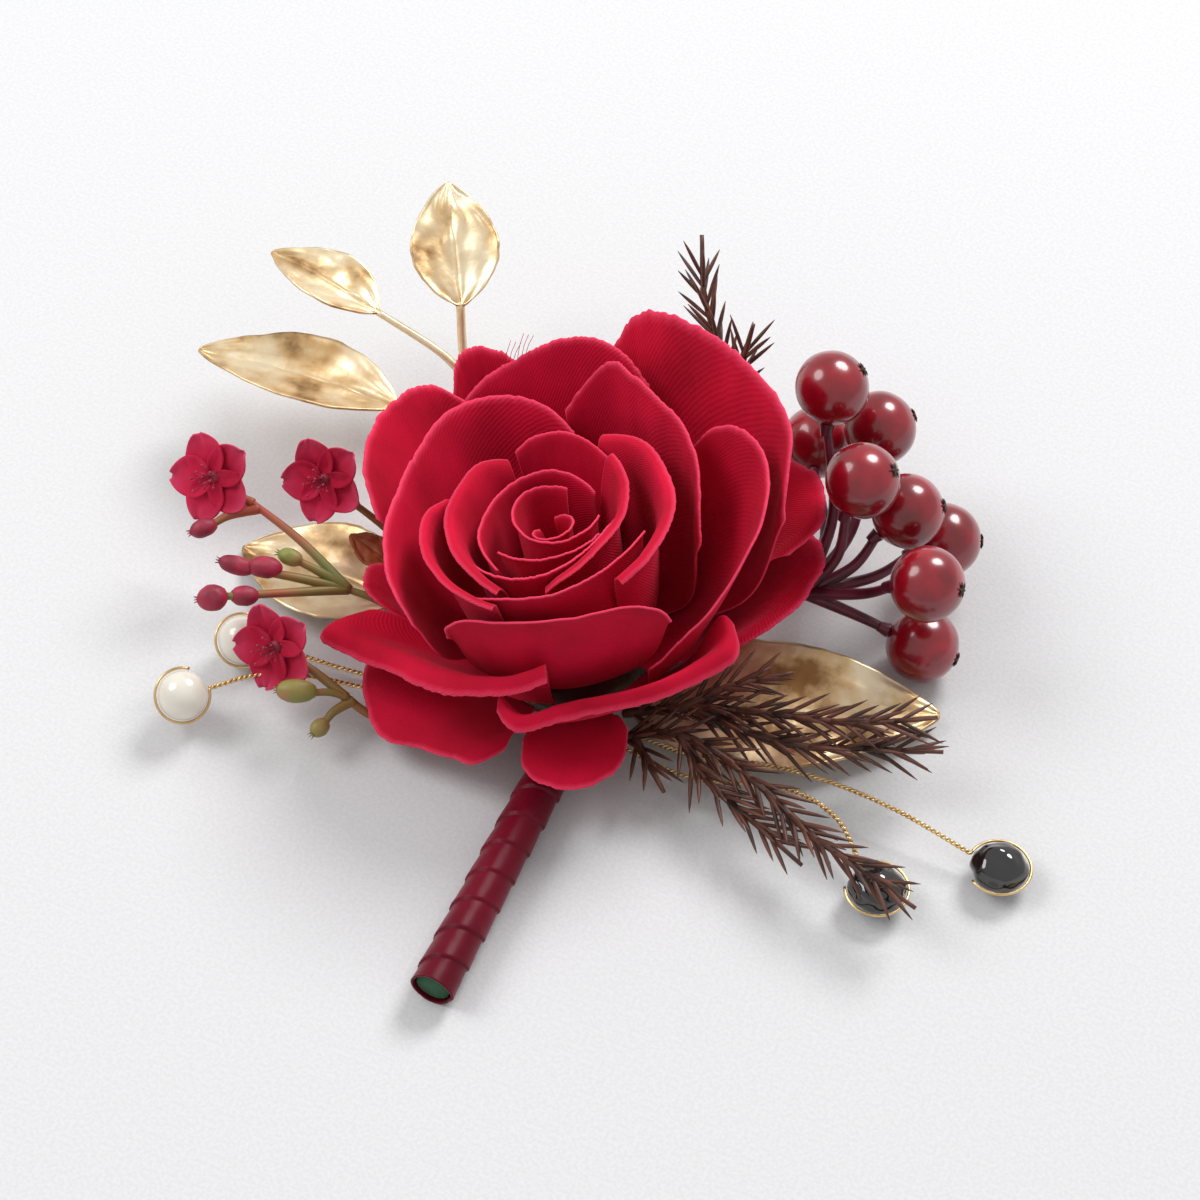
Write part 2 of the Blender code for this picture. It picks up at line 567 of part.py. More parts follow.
SPRAYS = [
    ("blossom_spray_left", [
        ((-6.9, -17.8, 2.4), (-15, -13.6, 1.6), (-23.5, -9.0, 3.4), (-29.4, -7.0, 8.2),
         (-34.5, -5.8, 10)),
        ((-34.0, -5.9, 9.9), (-40.9, 1.0, 12), (-48.0, 6.5, 13.8)),
        ((-46.5, 5.4, 13.4), (-50.5, 4.4, 13.2), (-52.6, 3.1, 13.0)),
        ((-34.0, -5.9, 9.9), (-40.3, -8.0, 12), (-50.2, -10.2, 13.8)),
        ((-34.0, -5.9, 9.9), (-41.0, -6.3, 13), (-47.6, -5.6, 14)),
        ((-34.0, -5.9, 9.9), (-38.0, -4.9, 12.6), (-41.0, -3.9, 13.8)),
    ], [
        ((-54.0, 2.4, 12.9), (-1, -0.5, 0), (2.0, 1.3, 1.3)),
        ((-51.7, -10.6, 14.0), (-1, -0.2, 0.1), (2.1, 1.8, 1.8)),
        ((-47.6, -9.6, 13.2), (-1, 0, 0), (2.0, 1.4, 1.4)),
        ((-48.8, -5.2, 14.2), (-1, 0.2, 0.2), (2.6, 1.3, 1.3)),
        ((-45.0, -5.5, 14.2), (-1, 0.1, 0), (2.4, 1.5, 1.5)),
        ((-41.7, -3.7, 14.1), (-1, 0.3, 0.2), (1.8, 1.2, 1.2)),
    ]),
    ("blossom_spray_back", [
        ((-6.0, -13.2, 1.0), (-14, -5, 2.0), (-24, 2.6, 4.4), (-29.6, 5.6, 9), (-34.0, 7.2, 12.6)),
    ], []),
    ("blossom_spray_front", [
        ((-8.8, -23.0, 2.2), (-18, -22.6, 1.8), (-29.5, -21.8, 2.2), (-34.6, -21.0, 6.4),
         (-38.6, -21.8, 8.0)),
        ((-33.0, -21.1, 5.2), (-35.4, -23.2, 5.6), (-36.6, -24.8, 5.2)),
    ], [
        ((-40.2, -22.0, 8.6), (-1, -0.1, 0.2), (2.8, 1.6, 1.6)),
        ((-37.2, -25.4, 5.0), (-0.6, -0.7, 0), (1.5, 1.2, 1.2)),
    ]),
]
BLOSSOMS = [
    # name, centre, the way it faces, petal length
    ("blossom_left", (-52.8, 9.0, 15.8), (-0.75, -0.25, 0.6), 5.0),
    ("blossom_back", (-37.6, 8.6, 15.8), (-0.7, -0.45, 0.55), 4.8),
    ("blossom_front", (-43.2, -15.8, 10.2), (-0.8, -0.35, 0.45), 4.8),
]


def add_blossoms():
    for name, stems, buds in SPRAYS:
        pieces = [strand(points, 0.8, 0.6, 3) for points in stems]
        pieces += [lens(centre, (0, 0, 1), along, semi) for centre, along, semi in buds]
        fuse(name, pieces, "spray_stem")
    for name, centre, facing, length in BLOSSOMS:
        centre, facing = Vector(centre), Vector(facing).normalized()
        across = facing.cross(Vector((0, 0, 1))).normalized()
        pieces = [lens(centre, facing, across, (1.9, 1.9, 1.4))]
        for k in range(5):
            angle = math.radians(20 + 72 * k)
            out = across * math.cos(angle) + facing.cross(across) * math.sin(angle)
            aim = (out + facing * 0.35).normalized()
            pieces.append(lens(centre + aim * length * 0.55, facing, aim,
                               (length * 0.55, length * 0.4, 0.6)))
        fuse(name, pieces, "blossom_red")


# ---------------------------------------------------------------- pearls, beads and their wires

WIRES = [
    # name, path, what it holds, that piece's centre, the plane of the loop, loop radius
    ("pearl_wire_1", ((-8.2, -20.9, 2.2), (-20, -18.6, 1.6), (-31, -17.8, 3.4), (-38, -17.6, 5.6),
                      (-45.3, -17.6, 6.4)), "pearl_1", (-55.8, -20.4, 5.4), (0.3, -0.6, 0.8)),
    ("pearl_wire_2", ((-7.6, -19.4, 2.2), (-20, -16.4, 1.4), (-32, -14.2, 1.8), (-41, -11.8, 3.0)),
     "pearl_2", (-48.6, -10.0, 3.9), (0.2, -0.5, 0.9)),
    ("bead_wire_1", ((3.4, -24.2, 2.6), (12, -29.6, 4.6), (22.3, -32.0, 5.6), (30.6, -34.4, 5.0),
                     (39.1, -38.6, 4.5)), "bead_1", (51.6, -46.2, 3.0), (0, 0, 1)),
    ("bead_wire_2", ((2.4, -25.8, 1.5), (12, -31.8, 2.6), (24, -35.0, 4.8), (30.6, -39.6, 4.8)),
     "bead_2", (35.6, -49.4, 3.0), (0, 0, 1)),
]
LOOP_POINTS = 9


def add_wires():
    for name, path, held, centre, facing in WIRES:
        centre, facing = Vector(centre), Vector(facing).normalized()
        if held.startswith("pearl"):
            radius = PEARL_RADIUS
            add_object(held, ball(centre, radius, 14, 9), "pearl_white")
        else:
            radius = BEAD_SEMI_AXES.x
            add_object(held, lens(centre, facing, (1, -0.4, 0), BEAD_SEMI_AXES, 14, 8), "black_bead")
        loop_radius = radius + PIECE_GAP + WIRE_RADIUS
        start = Vector(path[-1]) - centre
        start = (start - facing * start.dot(facing)).normalized()
        across = facing.cross(start)
        loop = []
        for i in range(LOOP_POINTS):
            angle = math.radians(300) * i / (LOOP_POINTS - 1)
            loop.append(centre + (start * math.cos(angle) - across * math.sin(angle)) * loop_radius)
        line = smooth_line(path, 3) + [Vector(path[-1]).lerp(loop[0], 0.6)] + loop
        add_object(name, tube(line, [WIRE_RADIUS] * len(line), 0), "gold_wire")


# ---------------------------------------------------------------- build

add_rose()
add_receptacle()
add_stem()
add_joint()
add_leaves()
add_gold_stem()
add_berries()
add_sprigs()
add_blossoms()
add_wires()
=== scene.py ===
"""The looks of the rose boutonniere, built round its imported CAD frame.

Shapes are laid out in millimetres in the layout frame (+X across, +Y towards the gilded leaves, +Z up)
and are placed in the CAD frame by one turn and shift, so each piece covers the CAD node that it replaces.
"""

import math

import bmesh
import bpy
from mathutils import Matrix, Vector, noise


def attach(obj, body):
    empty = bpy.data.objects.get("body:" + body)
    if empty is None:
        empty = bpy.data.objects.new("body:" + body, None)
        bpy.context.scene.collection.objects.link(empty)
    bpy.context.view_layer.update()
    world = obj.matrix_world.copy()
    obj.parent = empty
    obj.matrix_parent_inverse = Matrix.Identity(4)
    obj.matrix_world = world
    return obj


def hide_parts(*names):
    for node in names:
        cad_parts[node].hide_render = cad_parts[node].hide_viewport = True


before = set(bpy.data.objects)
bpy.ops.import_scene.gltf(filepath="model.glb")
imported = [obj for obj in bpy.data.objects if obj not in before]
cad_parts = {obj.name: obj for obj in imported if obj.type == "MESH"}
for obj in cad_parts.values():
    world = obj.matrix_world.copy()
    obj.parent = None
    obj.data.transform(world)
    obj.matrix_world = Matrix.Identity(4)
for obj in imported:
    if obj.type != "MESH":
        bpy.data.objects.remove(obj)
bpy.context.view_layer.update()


MM = 0.001
STEM_TURN = math.radians(23.5)
FRAME_SHIFT = Vector((-2.336, 12.009, -0.03))

# Stem
STEM_FOOT = Vector((-21.2, -64.6, 3.05))
STEM_TOP = Vector((-5.35, -28.3, 3.4))
RIBBON_RADIUS = 2.95
RIBBON_WINDS = 8.5
LAP_DEPTH = 0.30
RIBBON_CLOTH = 0.3

# Taped joint under the rose
JOINT_CENTRE = Vector((-2.6, -21.6, 2.9))
JOINT_SEMI_AXES = (6.5, 4.2, 2.4)

# Rose
ROSE_BASE = Vector((-3.0, -14.0, 8.0))
ROSE_AXIS = Vector((-0.16, 0.17, 0.97)).normalized()
PETAL_CLOTH = 0.28
PETAL_GRID = (96, 44)
CLOTH_REACH = (18.0, 26.0)

# Leaves, berries, blossoms, pearls and beads
LEAF_FOIL = 0.35
LEAF_GRID = (40, 90)
BERRY_RADIUS = 5.1
BLOSSOM_GROWTH = 1.18
BLOSSOM_CLOTH = 0.2
PEARL_RADIUS = 3.35
BEAD_SEMI_AXES = Vector((3.8, 3.4, 2.6))
LOOP_GAP = 0.35
LOOP_SWEEP = math.radians(300)
LOOP_STEPS = 40
TWIST_PITCH = 1.5
SPIRAL_STEP = 137.5

# Camera, from the layout's origin, and room
CAMERA_REACH = 0.44
CAMERA_RISE = math.radians(52)
CAMERA_LENS = 95.0
ROOM_LIGHT = 0.62
BACKDROP = 0.93

LAYOUT = Matrix.Translation(FRAME_SHIFT * MM) @ Matrix.Rotation(STEM_TURN, 4, "Z")


def rose_matrix():
    across = (Vector((1, 0, 0)) - ROSE_AXIS * ROSE_AXIS.x).normalized()
    back = ROSE_AXIS.cross(across)
    turn = Matrix((across, back, ROSE_AXIS)).transposed().to_4x4()
    return LAYOUT @ Matrix.Translation(ROSE_BASE * MM) @ turn


ROSE = rose_matrix()


# ---------------------------------------------------------------- materials

def principled(name, color, rough, metallic=0.0, **sockets):
    """A material with its shader, and the node tree to add textures to."""
    material = bpy.data.materials.new(name)
    material.use_nodes = True
    tree = material.node_tree
    shader = tree.nodes["Principled BSDF"]
    shader.inputs["Base Color"].default_value = (*color, 1.0)
    shader.inputs["Roughness"].default_value = rough
    shader.inputs["Metallic"].default_value = metallic
    for key, value in sockets.items():
        shader.inputs[key.replace("_", " ")].default_value = value
    return material, tree, shader


def node(tree, kind, inputs=(), **settings):
    """A new shader node with these input values and settings."""
    made = tree.nodes.new(kind)
    for key, value in settings.items():
        setattr(made, key, value)
    for key, value in dict(inputs).items():
        made.inputs[key].default_value = value
    return made


def noise_ramp(tree, scale, stops, detail=4.0):
    """Noise on object coordinates, coloured by a ramp of (position, colour) stops."""
    coords = node(tree, "ShaderNodeTexCoord")
    texture = node(tree, "ShaderNodeTexNoise", {"Scale": scale, "Detail": detail})
    ramp = node(tree, "ShaderNodeValToRGB")
    tree.links.new(coords.outputs["Object"], texture.inputs["Vector"])
    tree.links.new(texture.outputs["Fac"], ramp.inputs["Fac"])
    ramp.color_ramp.elements[0].position = stops[0][0]
    ramp.color_ramp.elements[0].color = (*stops[0][1], 1)
    ramp.color_ramp.elements[1].position = stops[-1][0]
    ramp.color_ramp.elements[1].color = (*stops[-1][1], 1)
    for position, color in stops[1:-1]:
        ramp.color_ramp.elements.new(position).color = (*color, 1)
    return ramp, texture


def add_bump(tree, shader, height, strength, distance):
    bump = node(tree, "ShaderNodeBump", {"Strength": strength, "Distance": distance})
    tree.links.new(height, bump.inputs["Height"])
    tree.links.new(bump.outputs["Normal"], shader.inputs["Normal"])


def woven(name, dark, bright, rim, rough, thread_mm, sheen, strength=0.35):
    """Cloth: mottled colour, a twill of fine diagonal threads, and a paler cut edge."""
    material, tree, shader = principled(name, bright, rough, Sheen_Weight=sheen, Sheen_Roughness=0.4,
                                        Specular_IOR_Level=0.15)
    shader.inputs["Sheen Tint"].default_value = (1.0, 0.25, 0.35, 1.0)
    ramp, _ = noise_ramp(tree, 90, [(0.3, dark), (0.7, bright)])
    cloth = node(tree, "ShaderNodeUVMap", uv_map="cloth")
    warp = node(tree, "ShaderNodeTexWave", {"Scale": 0.31 / thread_mm, "Distortion": 0.3},
                bands_direction="DIAGONAL")
    fuzz = node(tree, "ShaderNodeTexNoise", {"Scale": 3.0, "Detail": 3.0})
    both = node(tree, "ShaderNodeMath", operation="ADD")
    edge = node(tree, "ShaderNodeAttribute", attribute_name="edge")
    mix = node(tree, "ShaderNodeMix", data_type="RGBA")
    mix.inputs["B"].default_value = (*rim, 1)
    tree.links.new(cloth.outputs["UV"], warp.inputs["Vector"])
    tree.links.new(cloth.outputs["UV"], fuzz.inputs["Vector"])
    tree.links.new(warp.outputs["Fac"], both.inputs[0])
    tree.links.new(fuzz.outputs["Fac"], both.inputs[1])
    tree.links.new(edge.outputs["Fac"], mix.inputs["Factor"])
    tree.links.new(ramp.outputs["Color"], mix.inputs["A"])
    tree.links.new(mix.outputs["Result"], shader.inputs["Base Color"])
    add_bump(tree, shader, both.outputs[0], strength, 0.00012)
    return material


def mottled(name, stops, rough, scale, strength, metallic=0.0, **sockets):
    """A surface with noise-mottled colour and a bump from the same noise."""
    material, tree, shader = principled(name, stops[-1][1], rough, metallic, **sockets)
    ramp, texture = noise_ramp(tree, scale, stops, 6.0)
    tree.links.new(ramp.outputs["Color"], shader.inputs["Base Color"])
    add_bump(tree, shader, texture.outputs["Fac"], strength, 0.0004)
    return material


LOOKS = {
    "rose": woven("rose_cloth", (0.38, 0.001, 0.018), (0.62, 0.003, 0.036),
                  (0.80, 0.05, 0.12), 0.8, 0.3, 0.12),
    "ribbon": woven("ribbon_satin", (0.07, 0.001, 0.007), (0.15, 0.002, 0.014),
                    (0.25, 0.012, 0.035), 0.33, 0.25, 0.15, 0.15),
    "blossom": woven("blossom_cloth", (0.42, 0.003, 0.03), (0.66, 0.015, 0.07),
                     (0.80, 0.12, 0.25), 0.7, 0.3, 0.3),
    "foil": mottled("gold_foil", [(0.32, (0.30, 0.15, 0.05)), (0.44, (0.72, 0.50, 0.26)),
                                  (0.60, (0.90, 0.76, 0.52))], 0.36, 160, 0.7, 0.75),
    "berry": mottled("berry_lacquer", [(0.35, (0.17, 0.001, 0.006)), (0.7, (0.33, 0.003, 0.014))],
                     0.26, 260, 0.05, Coat_Weight=0.7, Coat_Roughness=0.12),
    "berry_stem": mottled("plum_plastic", [(0.3, (0.05, 0.004, 0.012)), (0.7, (0.15, 0.010, 0.032))],
                          0.35, 300, 0.2),
    "needle": mottled("needle_brown_matte", [(0.3, (0.035, 0.014, 0.009)), (0.7, (0.17, 0.055, 0.032))],
                      0.5, 250, 0.3),
    "spray": mottled("spray_bark", [(0.35, (0.16, 0.16, 0.03)), (0.55, (0.30, 0.10, 0.035)),
                                    (0.7, (0.36, 0.06, 0.03))], 0.5, 120, 0.3),
    "bud": mottled("bud_red", [(0.3, (0.16, 0.006, 0.02)), (0.7, (0.42, 0.02, 0.06))],
                   0.55, 400, 0.4),
    "green_bud": mottled("bud_green", [(0.3, (0.16, 0.24, 0.03)), (0.7, (0.34, 0.16, 0.07))],
                         0.5, 300, 0.3),
    "tape": mottled("green_tape", [(0.3, (0.012, 0.07, 0.03)), (0.7, (0.03, 0.14, 0.06))],
                    0.7, 300, 0.5),
    "brown": mottled("brown_scrap", [(0.3, (0.24, 0.05, 0.015)), (0.7, (0.42, 0.11, 0.03))],
                     0.6, 200, 0.4),
    "pearl": mottled("pearl_coat", [(0.3, (0.74, 0.69, 0.60)), (0.7, (0.84, 0.80, 0.73))],
                     0.22, 60, 0.02, Coat_Weight=0.8, Coat_Roughness=0.08, Subsurface_Weight=0.1),
    "wire": mottled("gilt_wire", [(0.3, (0.62, 0.40, 0.16)), (0.7, (0.86, 0.64, 0.34))],
                    0.28, 500, 0.2, 1.0),
    "bead": mottled("jet_glass", [(0.3, (0.004, 0.004, 0.004)), (0.7, (0.016, 0.015, 0.015))],
                    0.05, 80, 0.02, Coat_Weight=1.0, Coat_Roughness=0.03),
    # Rose receptacle: its own dull green and brown, darkened to near black as painted shade for the
    # hollow under the petals where it shows.
    "calyx_painted_shade": mottled("calyx_dark_painted_shade", [(0.3, (0.010, 0.012, 0.006)), (0.7, (0.06, 0.02, 0.012))],
                            0.8, 300, 0.4),
    "calyx": mottled("calyx_black", [(0.3, (0.01, 0.008, 0.006)), (0.7, (0.05, 0.03, 0.02))],
                     0.7, 400, 0.4),
}


# ---------------------------------------------------------------- pieces

def add_piece(name, mesh, look, matrix=LAYOUT, replaced=None, thickness=None):
    """Places a mesh made in metres, riding on the body, in place of a CAD node where one is named."""
    mesh.transform(matrix)
    mesh.shade_smooth()
    mesh.materials.append(LOOKS[look])
    obj = bpy.data.objects.new(name, mesh)
    bpy.context.scene.collection.objects.link(obj)
    if thickness:
        solid = obj.modifiers.new("wall", "SOLIDIFY")
        solid.thickness = thickness * MM
        solid.offset = 0.0
    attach(obj, "root")
    if replaced:
        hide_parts(replaced)
    return obj


def mesh_from(shape):
    """A mesh in metres from a bmesh in millimetres, which is freed."""
    bmesh.ops.scale(shape, vec=(MM, MM, MM), verts=shape.verts)
    bmesh.ops.recalc_face_normals(shape, faces=shape.faces)
    mesh = bpy.data.meshes.new("shape")
    shape.to_mesh(mesh)
    shape.free()
    return mesh


def sheet(columns, rows, place, edge_of=None):
    """An open grid surface, placed by s from -1 to 1 and t from 0 to 1, with cloth coordinates."""
    shape = bmesh.new()
    bmesh.ops.create_grid(shape, x_segments=columns, y_segments=rows, size=1.0)
    marks = [(v.co.x, (v.co.y + 1.0) / 2.0) for v in shape.verts]
    for vertex, (s, t) in zip(shape.verts, marks):
        vertex.co = place(s, t)
    cloth = shape.loops.layers.uv.new("cloth")
    for face in shape.faces:
        for loop in face.loops:
            s, t = marks[loop.vert.index]
            loop[cloth].uv = (s * CLOTH_REACH[0], t * CLOTH_REACH[1])
    mesh = mesh_from(shape)
    edge = mesh.attributes.new("edge", "FLOAT", "POINT")
    for i, (s, t) in enumerate(marks):
        edge.data[i].value = edge_of(s, t) if edge_of else 0.0
    return mesh


def join(meshes):
    """One mesh from several, kept as they are."""
    shape = bmesh.new()
    for mesh in meshes:
        shape.from_mesh(mesh)
        bpy.data.meshes.remove(mesh)
    mesh = bpy.data.meshes.new("joined")
    shape.to_mesh(mesh)
    shape.free()
    return mesh


def bezier(points, t):
    """A point on the cubic with these four control points."""
    u = 1.0 - t
    weights = (u * u * u, 3 * u * u * t, 3 * u * t * t, t * t * t)
    return sum((Vector(p) * w for p, w in zip(points, weights)), Vector((0.0,) * len(points[0])))


def smooth_line(points, steps):
    """Points along a Catmull-Rom curve through the given ones."""
    pts = [Vector(p) for p in points]
    pts = [2 * pts[0] - pts[1]] + pts + [2 * pts[-1] - pts[-2]]
    line = []
    for a, b, c, d in zip(pts, pts[1:], pts[2:], pts[3:]):
        for i in range(steps):
            t = i / steps
            line.append(0.5 * (2 * b + (c - a) * t + (2 * a - 5 * b + 4 * c - d) * t * t
                               + (3 * b - a - 3 * c + d) * t ** 3))
    line.append(pts[-2])
    return line


def tube(line, radii, sides_level=2):
    """A closed tube mesh along a line, with a radius for each of its points."""
    curve = bpy.data.curves.new("tube", "CURVE")
    curve.dimensions = "3D"
    curve.bevel_depth = MM
    curve.bevel_resolution = sides_level
    curve.use_fill_caps = True
    spline = curve.splines.new("POLY")
    spline.points.add(len(line) - 1)
    for point, place, radius in zip(spline.points, line, radii):
        point.co = (*(Vector(place) * MM), 1.0)
        point.radius = radius
    holder = bpy.data.objects.new("tube", curve)
    bpy.context.scene.collection.objects.link(holder)
    graph = bpy.context.evaluated_depsgraph_get()
    mesh = bpy.data.meshes.new_from_object(holder.evaluated_get(graph))
    bpy.data.objects.remove(holder)
    bpy.data.curves.remove(curve)
    shape = bmesh.new()
    shape.from_mesh(mesh)
    bmesh.ops.remove_doubles(shape, verts=shape.verts, dist=1e-7)
    shape.to_mesh(mesh)
    shape.free()
    return mesh


def taper(count, first, last):
    """Evenly changing radii from the first to the last."""
    return [first + (last - first) * i / (count - 1) for i in range(count)]


def strand(points, first, last, steps=8, sides_level=2):
    """A tapered tube along a smooth curve through these points."""
    line = smooth_line(points, steps)
    return tube(line, taper(len(line), first, last), sides_level)


def ellipsoid(centre, normal, along, semi_axes, columns=32, rows=20, rough=0.0):
    """A ball with its first semi-axis along one way, and its surface a little uneven if rough."""
    along = Vector(along).normalized()
    side = Vector(normal).cross(along).normalized()
    turn = Matrix((along, side, along.cross(side))).transposed().to_4x4()
    shape = bmesh.new()
    bmesh.ops.create_uvsphere(shape, u_segments=columns, v_segments=rows, radius=1.0)
    for vertex in shape.verts:
        vertex.co *= 1 + rough * noise.noise(vertex.co * 2.2 + Vector(centre))
    size = Matrix.Diagonal((*semi_axes, 1.0))
    bmesh.ops.transform(shape, matrix=Matrix.Translation(centre) @ turn @ size, verts=shape.verts)
    return mesh_from(shape)


# Each petal: name; base (radius, height, azimuth half-span); belly (radius, height); over (radius,
# height), from the rim to the surface's last control, which makes the rim lean or roll outwards;
# rim, a row of (azimuth, radius, height) from its clockwise end to its anticlockwise end.
BUD_PETALS = [
    ("bud_petal_1", (2.0, 5.2, 140), (2.4, 10), (-0.4, -4),
     ((150, 1.6, 20.5), (220, 2.5, 21.8), (300, 2.8, 22.2), (380, 2.7, 22), (440, 2.2, 21))),
    ("bud_petal_2", (4.0, 5.2, 120), (4.6, 10), (-0.5, -4),
     ((70, 6.4, 22.5), (115, 6.2, 23.3), (160, 4.7, 23.5), (210, 4.1, 23.3), (250, 4.3, 23.2),
      (290, 5.2, 23.3), (325, 5.9, 23.4), (358, 6.3, 22.8))),
    ("bud_petal_4", (7.4, 5.2, 80), (8.0, 10), (-0.4, -5),
     ((48, 8.4, 21), (83, 9.6, 22.8), (110, 9.6, 23), (138, 8.8, 23), (165, 8.5, 23), (200, 9.2, 22.8),
      (226, 9.8, 21.5))),
    ("bud_petal_5", (8.6, 5.2, 85), (8.4, 10), (-2.6, 0.6),
     ((-92, 12.6, 21.6), (-81, 12.2, 23), (-57, 10.9, 24), (-35, 10.4, 24.4), (0, 10.4, 24.5),
      (25, 11.2, 24.5), (48, 12.6, 24.5))),
    ("bud_petal_6", (9.4, 4.2, 20), (11.8, 9), (-1.4, -3),
     ((54, 13.2, 22.5), (70, 14.4, 24.3), (85, 15.2, 24.7), (98, 15.2, 24.3), (108, 14.9, 23))),
    ("bud_petal_7", (9.2, 4.9, 60), (10.2, 9), (-2.8, 0.5),
     ((114, 13.6, 23), (128, 14.2, 24.2), (150, 13.2, 24.6), (178, 13, 24.6), (203, 13.2, 24.4),
      (225, 13.9, 23.8), (243, 14.3, 22.4))),
    ("bud_petal_8", (10.2, 3.6, 40), (14.6, 9), (-2.2, 0.2),
     ((152, 15.6, 22), (168, 16.3, 23.5), (184, 16.6, 24), (205, 16.8, 24), (225, 17.2, 23.8),
      (246, 17.2, 22.6))),
    ("bud_petal_9", (10.2, 3.6, 52), (14.0, 9), (-3.8, 1.0),
     ((-56, 16.6, 22.6), (-46, 17.4, 24), (-33, 17.3, 24.6), (-12, 16.8, 24.9), (8, 16.2, 25),
      (26, 16.2, 25), (44, 16.6, 24.8), (64, 16.2, 23.6))),
]
CUP_PETALS = [
    ("front_petal", (10.4, 2.9, 40), (16.6, 5), (-2.0, -3.5),
     ((214, 17.8, 13.5), (220, 18.2, 17), (233, 17.5, 19.6), (257, 17.0, 20.6), (281, 17.2, 20.8),
      (300, 18.6, 20.8), (309, 21.0, 20.0), (315, 20.6, 16))),
    ("left_petal", (10.4, 2.9, 44), (17.4, 5), (-2.6, -9),
     ((80, 17.6, 22.5), (93, 22.0, 24.5), (107, 24.6, 25.6), (124, 24.5, 26), (142, 22.4, 25),
      (160, 21.2, 24.4), (185, 21.4, 24), (203, 21.8, 21.8), (213, 21.6, 18))),
    ("right_petal", (10.4, 2.9, 34), (18.2, 5), (-1.8, -8),
     ((-10, 18.8, 18), (2, 19.6, 23), (20, 20.2, 26.6), (44, 21.0, 28.4), (58, 22.6, 29.4),
      (69, 24.0, 29.6), (84, 20.6, 24))),
    ("back_petal", (10.6, 1.7, 34), (22, 3), (-3, -8),
     ((60, 27, 24), (68, 28.8, 27), (78, 30.2, 28.6), (88, 30, 28.6), (98, 28.8, 27.4),
      (109, 28.4, 25.6), (122, 27.6, 21))),
    ("right_front_petal", (10.6, 1.7, 30), (18, 3.5), (-3, -7.5),
     ((-53, 17.6, 8), (-45, 20, 11), (-35, 23.2, 15), (-20, 26.5, 20.6), (-8, 28.2, 23.8),
      (5, 28.5, 25.6), (17, 27.4, 26.8), (27, 25, 25.4), (34, 22.8, 21.5))),
    ("tall_petal", (10.8, 0.5, 26), (25, 0.5), (-4, -12),
     ((-5, 30, 20), (2, 31.4, 25.4), (14, 32.6, 28.6), (31, 32.4, 30.6), (48, 32.6, 31.6),
      (61, 33.4, 31.6), (69, 34, 29.4), (75, 33.4, 24))),
]
OUTER_PETALS = [
    ("left_outer_petal", (10.8, 0.5, 22), (23, 0.5), (-5, -6),
     ((111, 31.5, 19.5), (117, 37, 21.2), (124, 38, 21.6), (133, 36.2, 21.2), (144, 31.6, 20.4),
      (155, 27, 17))),
    ("back_left_petal", (10.8, -0.9, 12), (27, 0), (-4, -9),
     ((95, 33, 19), (100, 36.2, 23), (106, 38.6, 24), (111, 37.8, 22.6), (115, 34, 17.5))),
    ("right_upper_petal", (10.6, -1.4, 16), (22, -1), (-7, 0),
     ((8, 30, 8), (14, 35.2, 9.4), (21, 37.4, 10.2), (29, 37.8, 10.6), (37, 35.6, 10.4), (46, 30, 8))),
    ("right_lower_petal", (10.4, -2.8, 16), (20, -4.5), (-7, -0.5),
     ((-12, 22, 1), (-6, 27.4, 2.8), (1, 31.6, 4), (10, 34.2, 5), (19, 34.2, 5), (27, 30, 3.6))),
    ("left_lower_petal", (10.6, -1.2, 10), (18, -1.6), (-5, -3),
     ((147, 23, 3), (151, 28, 6.4), (156, 30, 8), (163, 29.2, 8.4), (169, 26, 7.4),
      (172, 22, 5))),
    ("front_left_petal", (10.6, 0.5, 34), (17, 2), (-3, 6),
     ((177, 28, 8), (181, 33.4, 7.8), (189, 29.4, 7.2), (200, 25.2, 7.4), (214, 23, 8.4),
      (232, 21.5, 9.8), (250, 20.5, 11), (265, 19.6, 12.6))),
    ("front_right_petal", (10.6, -0.9, 36), (20, 0), (-1.6, 6),
     ((243, 20, 7), (252, 21.6, 5.6), (268, 20.6, 6.6), (285, 21.2, 7.2), (302, 23.6, 8),
      (315, 25.2, 8.5), (326, 26.6, 9.2), (333, 24.6, 10.8))),
    ("under_left_petal", (10.2, -2.9, 28), (16, -2.6), (-4, 1.6),
     ((172, 23, 0.8), (180, 28.4, 1.2), (193, 29, -0.4), (204, 28.8, -1.4), (213, 25.8, -1.6),
      (224, 23.4, -1.8), (232, 22.6, -2), (238, 18.6, -2))),
    ("under_front_petal", (10.2, -3.0, 22), (14.5, -2.8), (-3.5, 1.2),
     ((242, 16, -2.4), (249, 20.4, -2.9), (260, 22.6, -3.2), (272, 22.8, -3.2), (284, 20.8, -2.8),
      (293, 15.6, -2.2))),
]


def along_row(row, u):
    """A point on the smooth curve through a row of points, u running from 0 to 1."""
    place = u * (len(row) - 1)
    i = min(int(place), len(row) - 2)
    t = place - i
    a, b, c, d = (Vector(row[max(0, min(len(row) - 1, k))]) for k in (i - 1, i, i + 1, i + 2))
    return 0.5 * (2 * b + (c - a) * t + (2 * a - 5 * b + 4 * c - d) * t * t
                  + (3 * b - a - 3 * c + d) * t ** 3)


def petal_surface(base, belly, over, rim):
    """place(s, t) for a petal round the rose's axis, from its base at t = 0 to its rim at t = 1."""
    middle = (rim[0][0] + rim[-1][0]) / 2

    def place(s, t):
        azimuth, radius, height = along_row(rim, (s + 1) / 2)
        controls = (base[:2], belly, (radius + over[0], height + over[1]), (radius, height))
        r, z = bezier(controls, t)
        start = middle + s * base[2]
        angle = math.radians(start + (azimuth - start) * (1 - (1 - t) ** 2))
        return Vector((r * math.cos(angle), r * math.sin(angle), z))
    return place


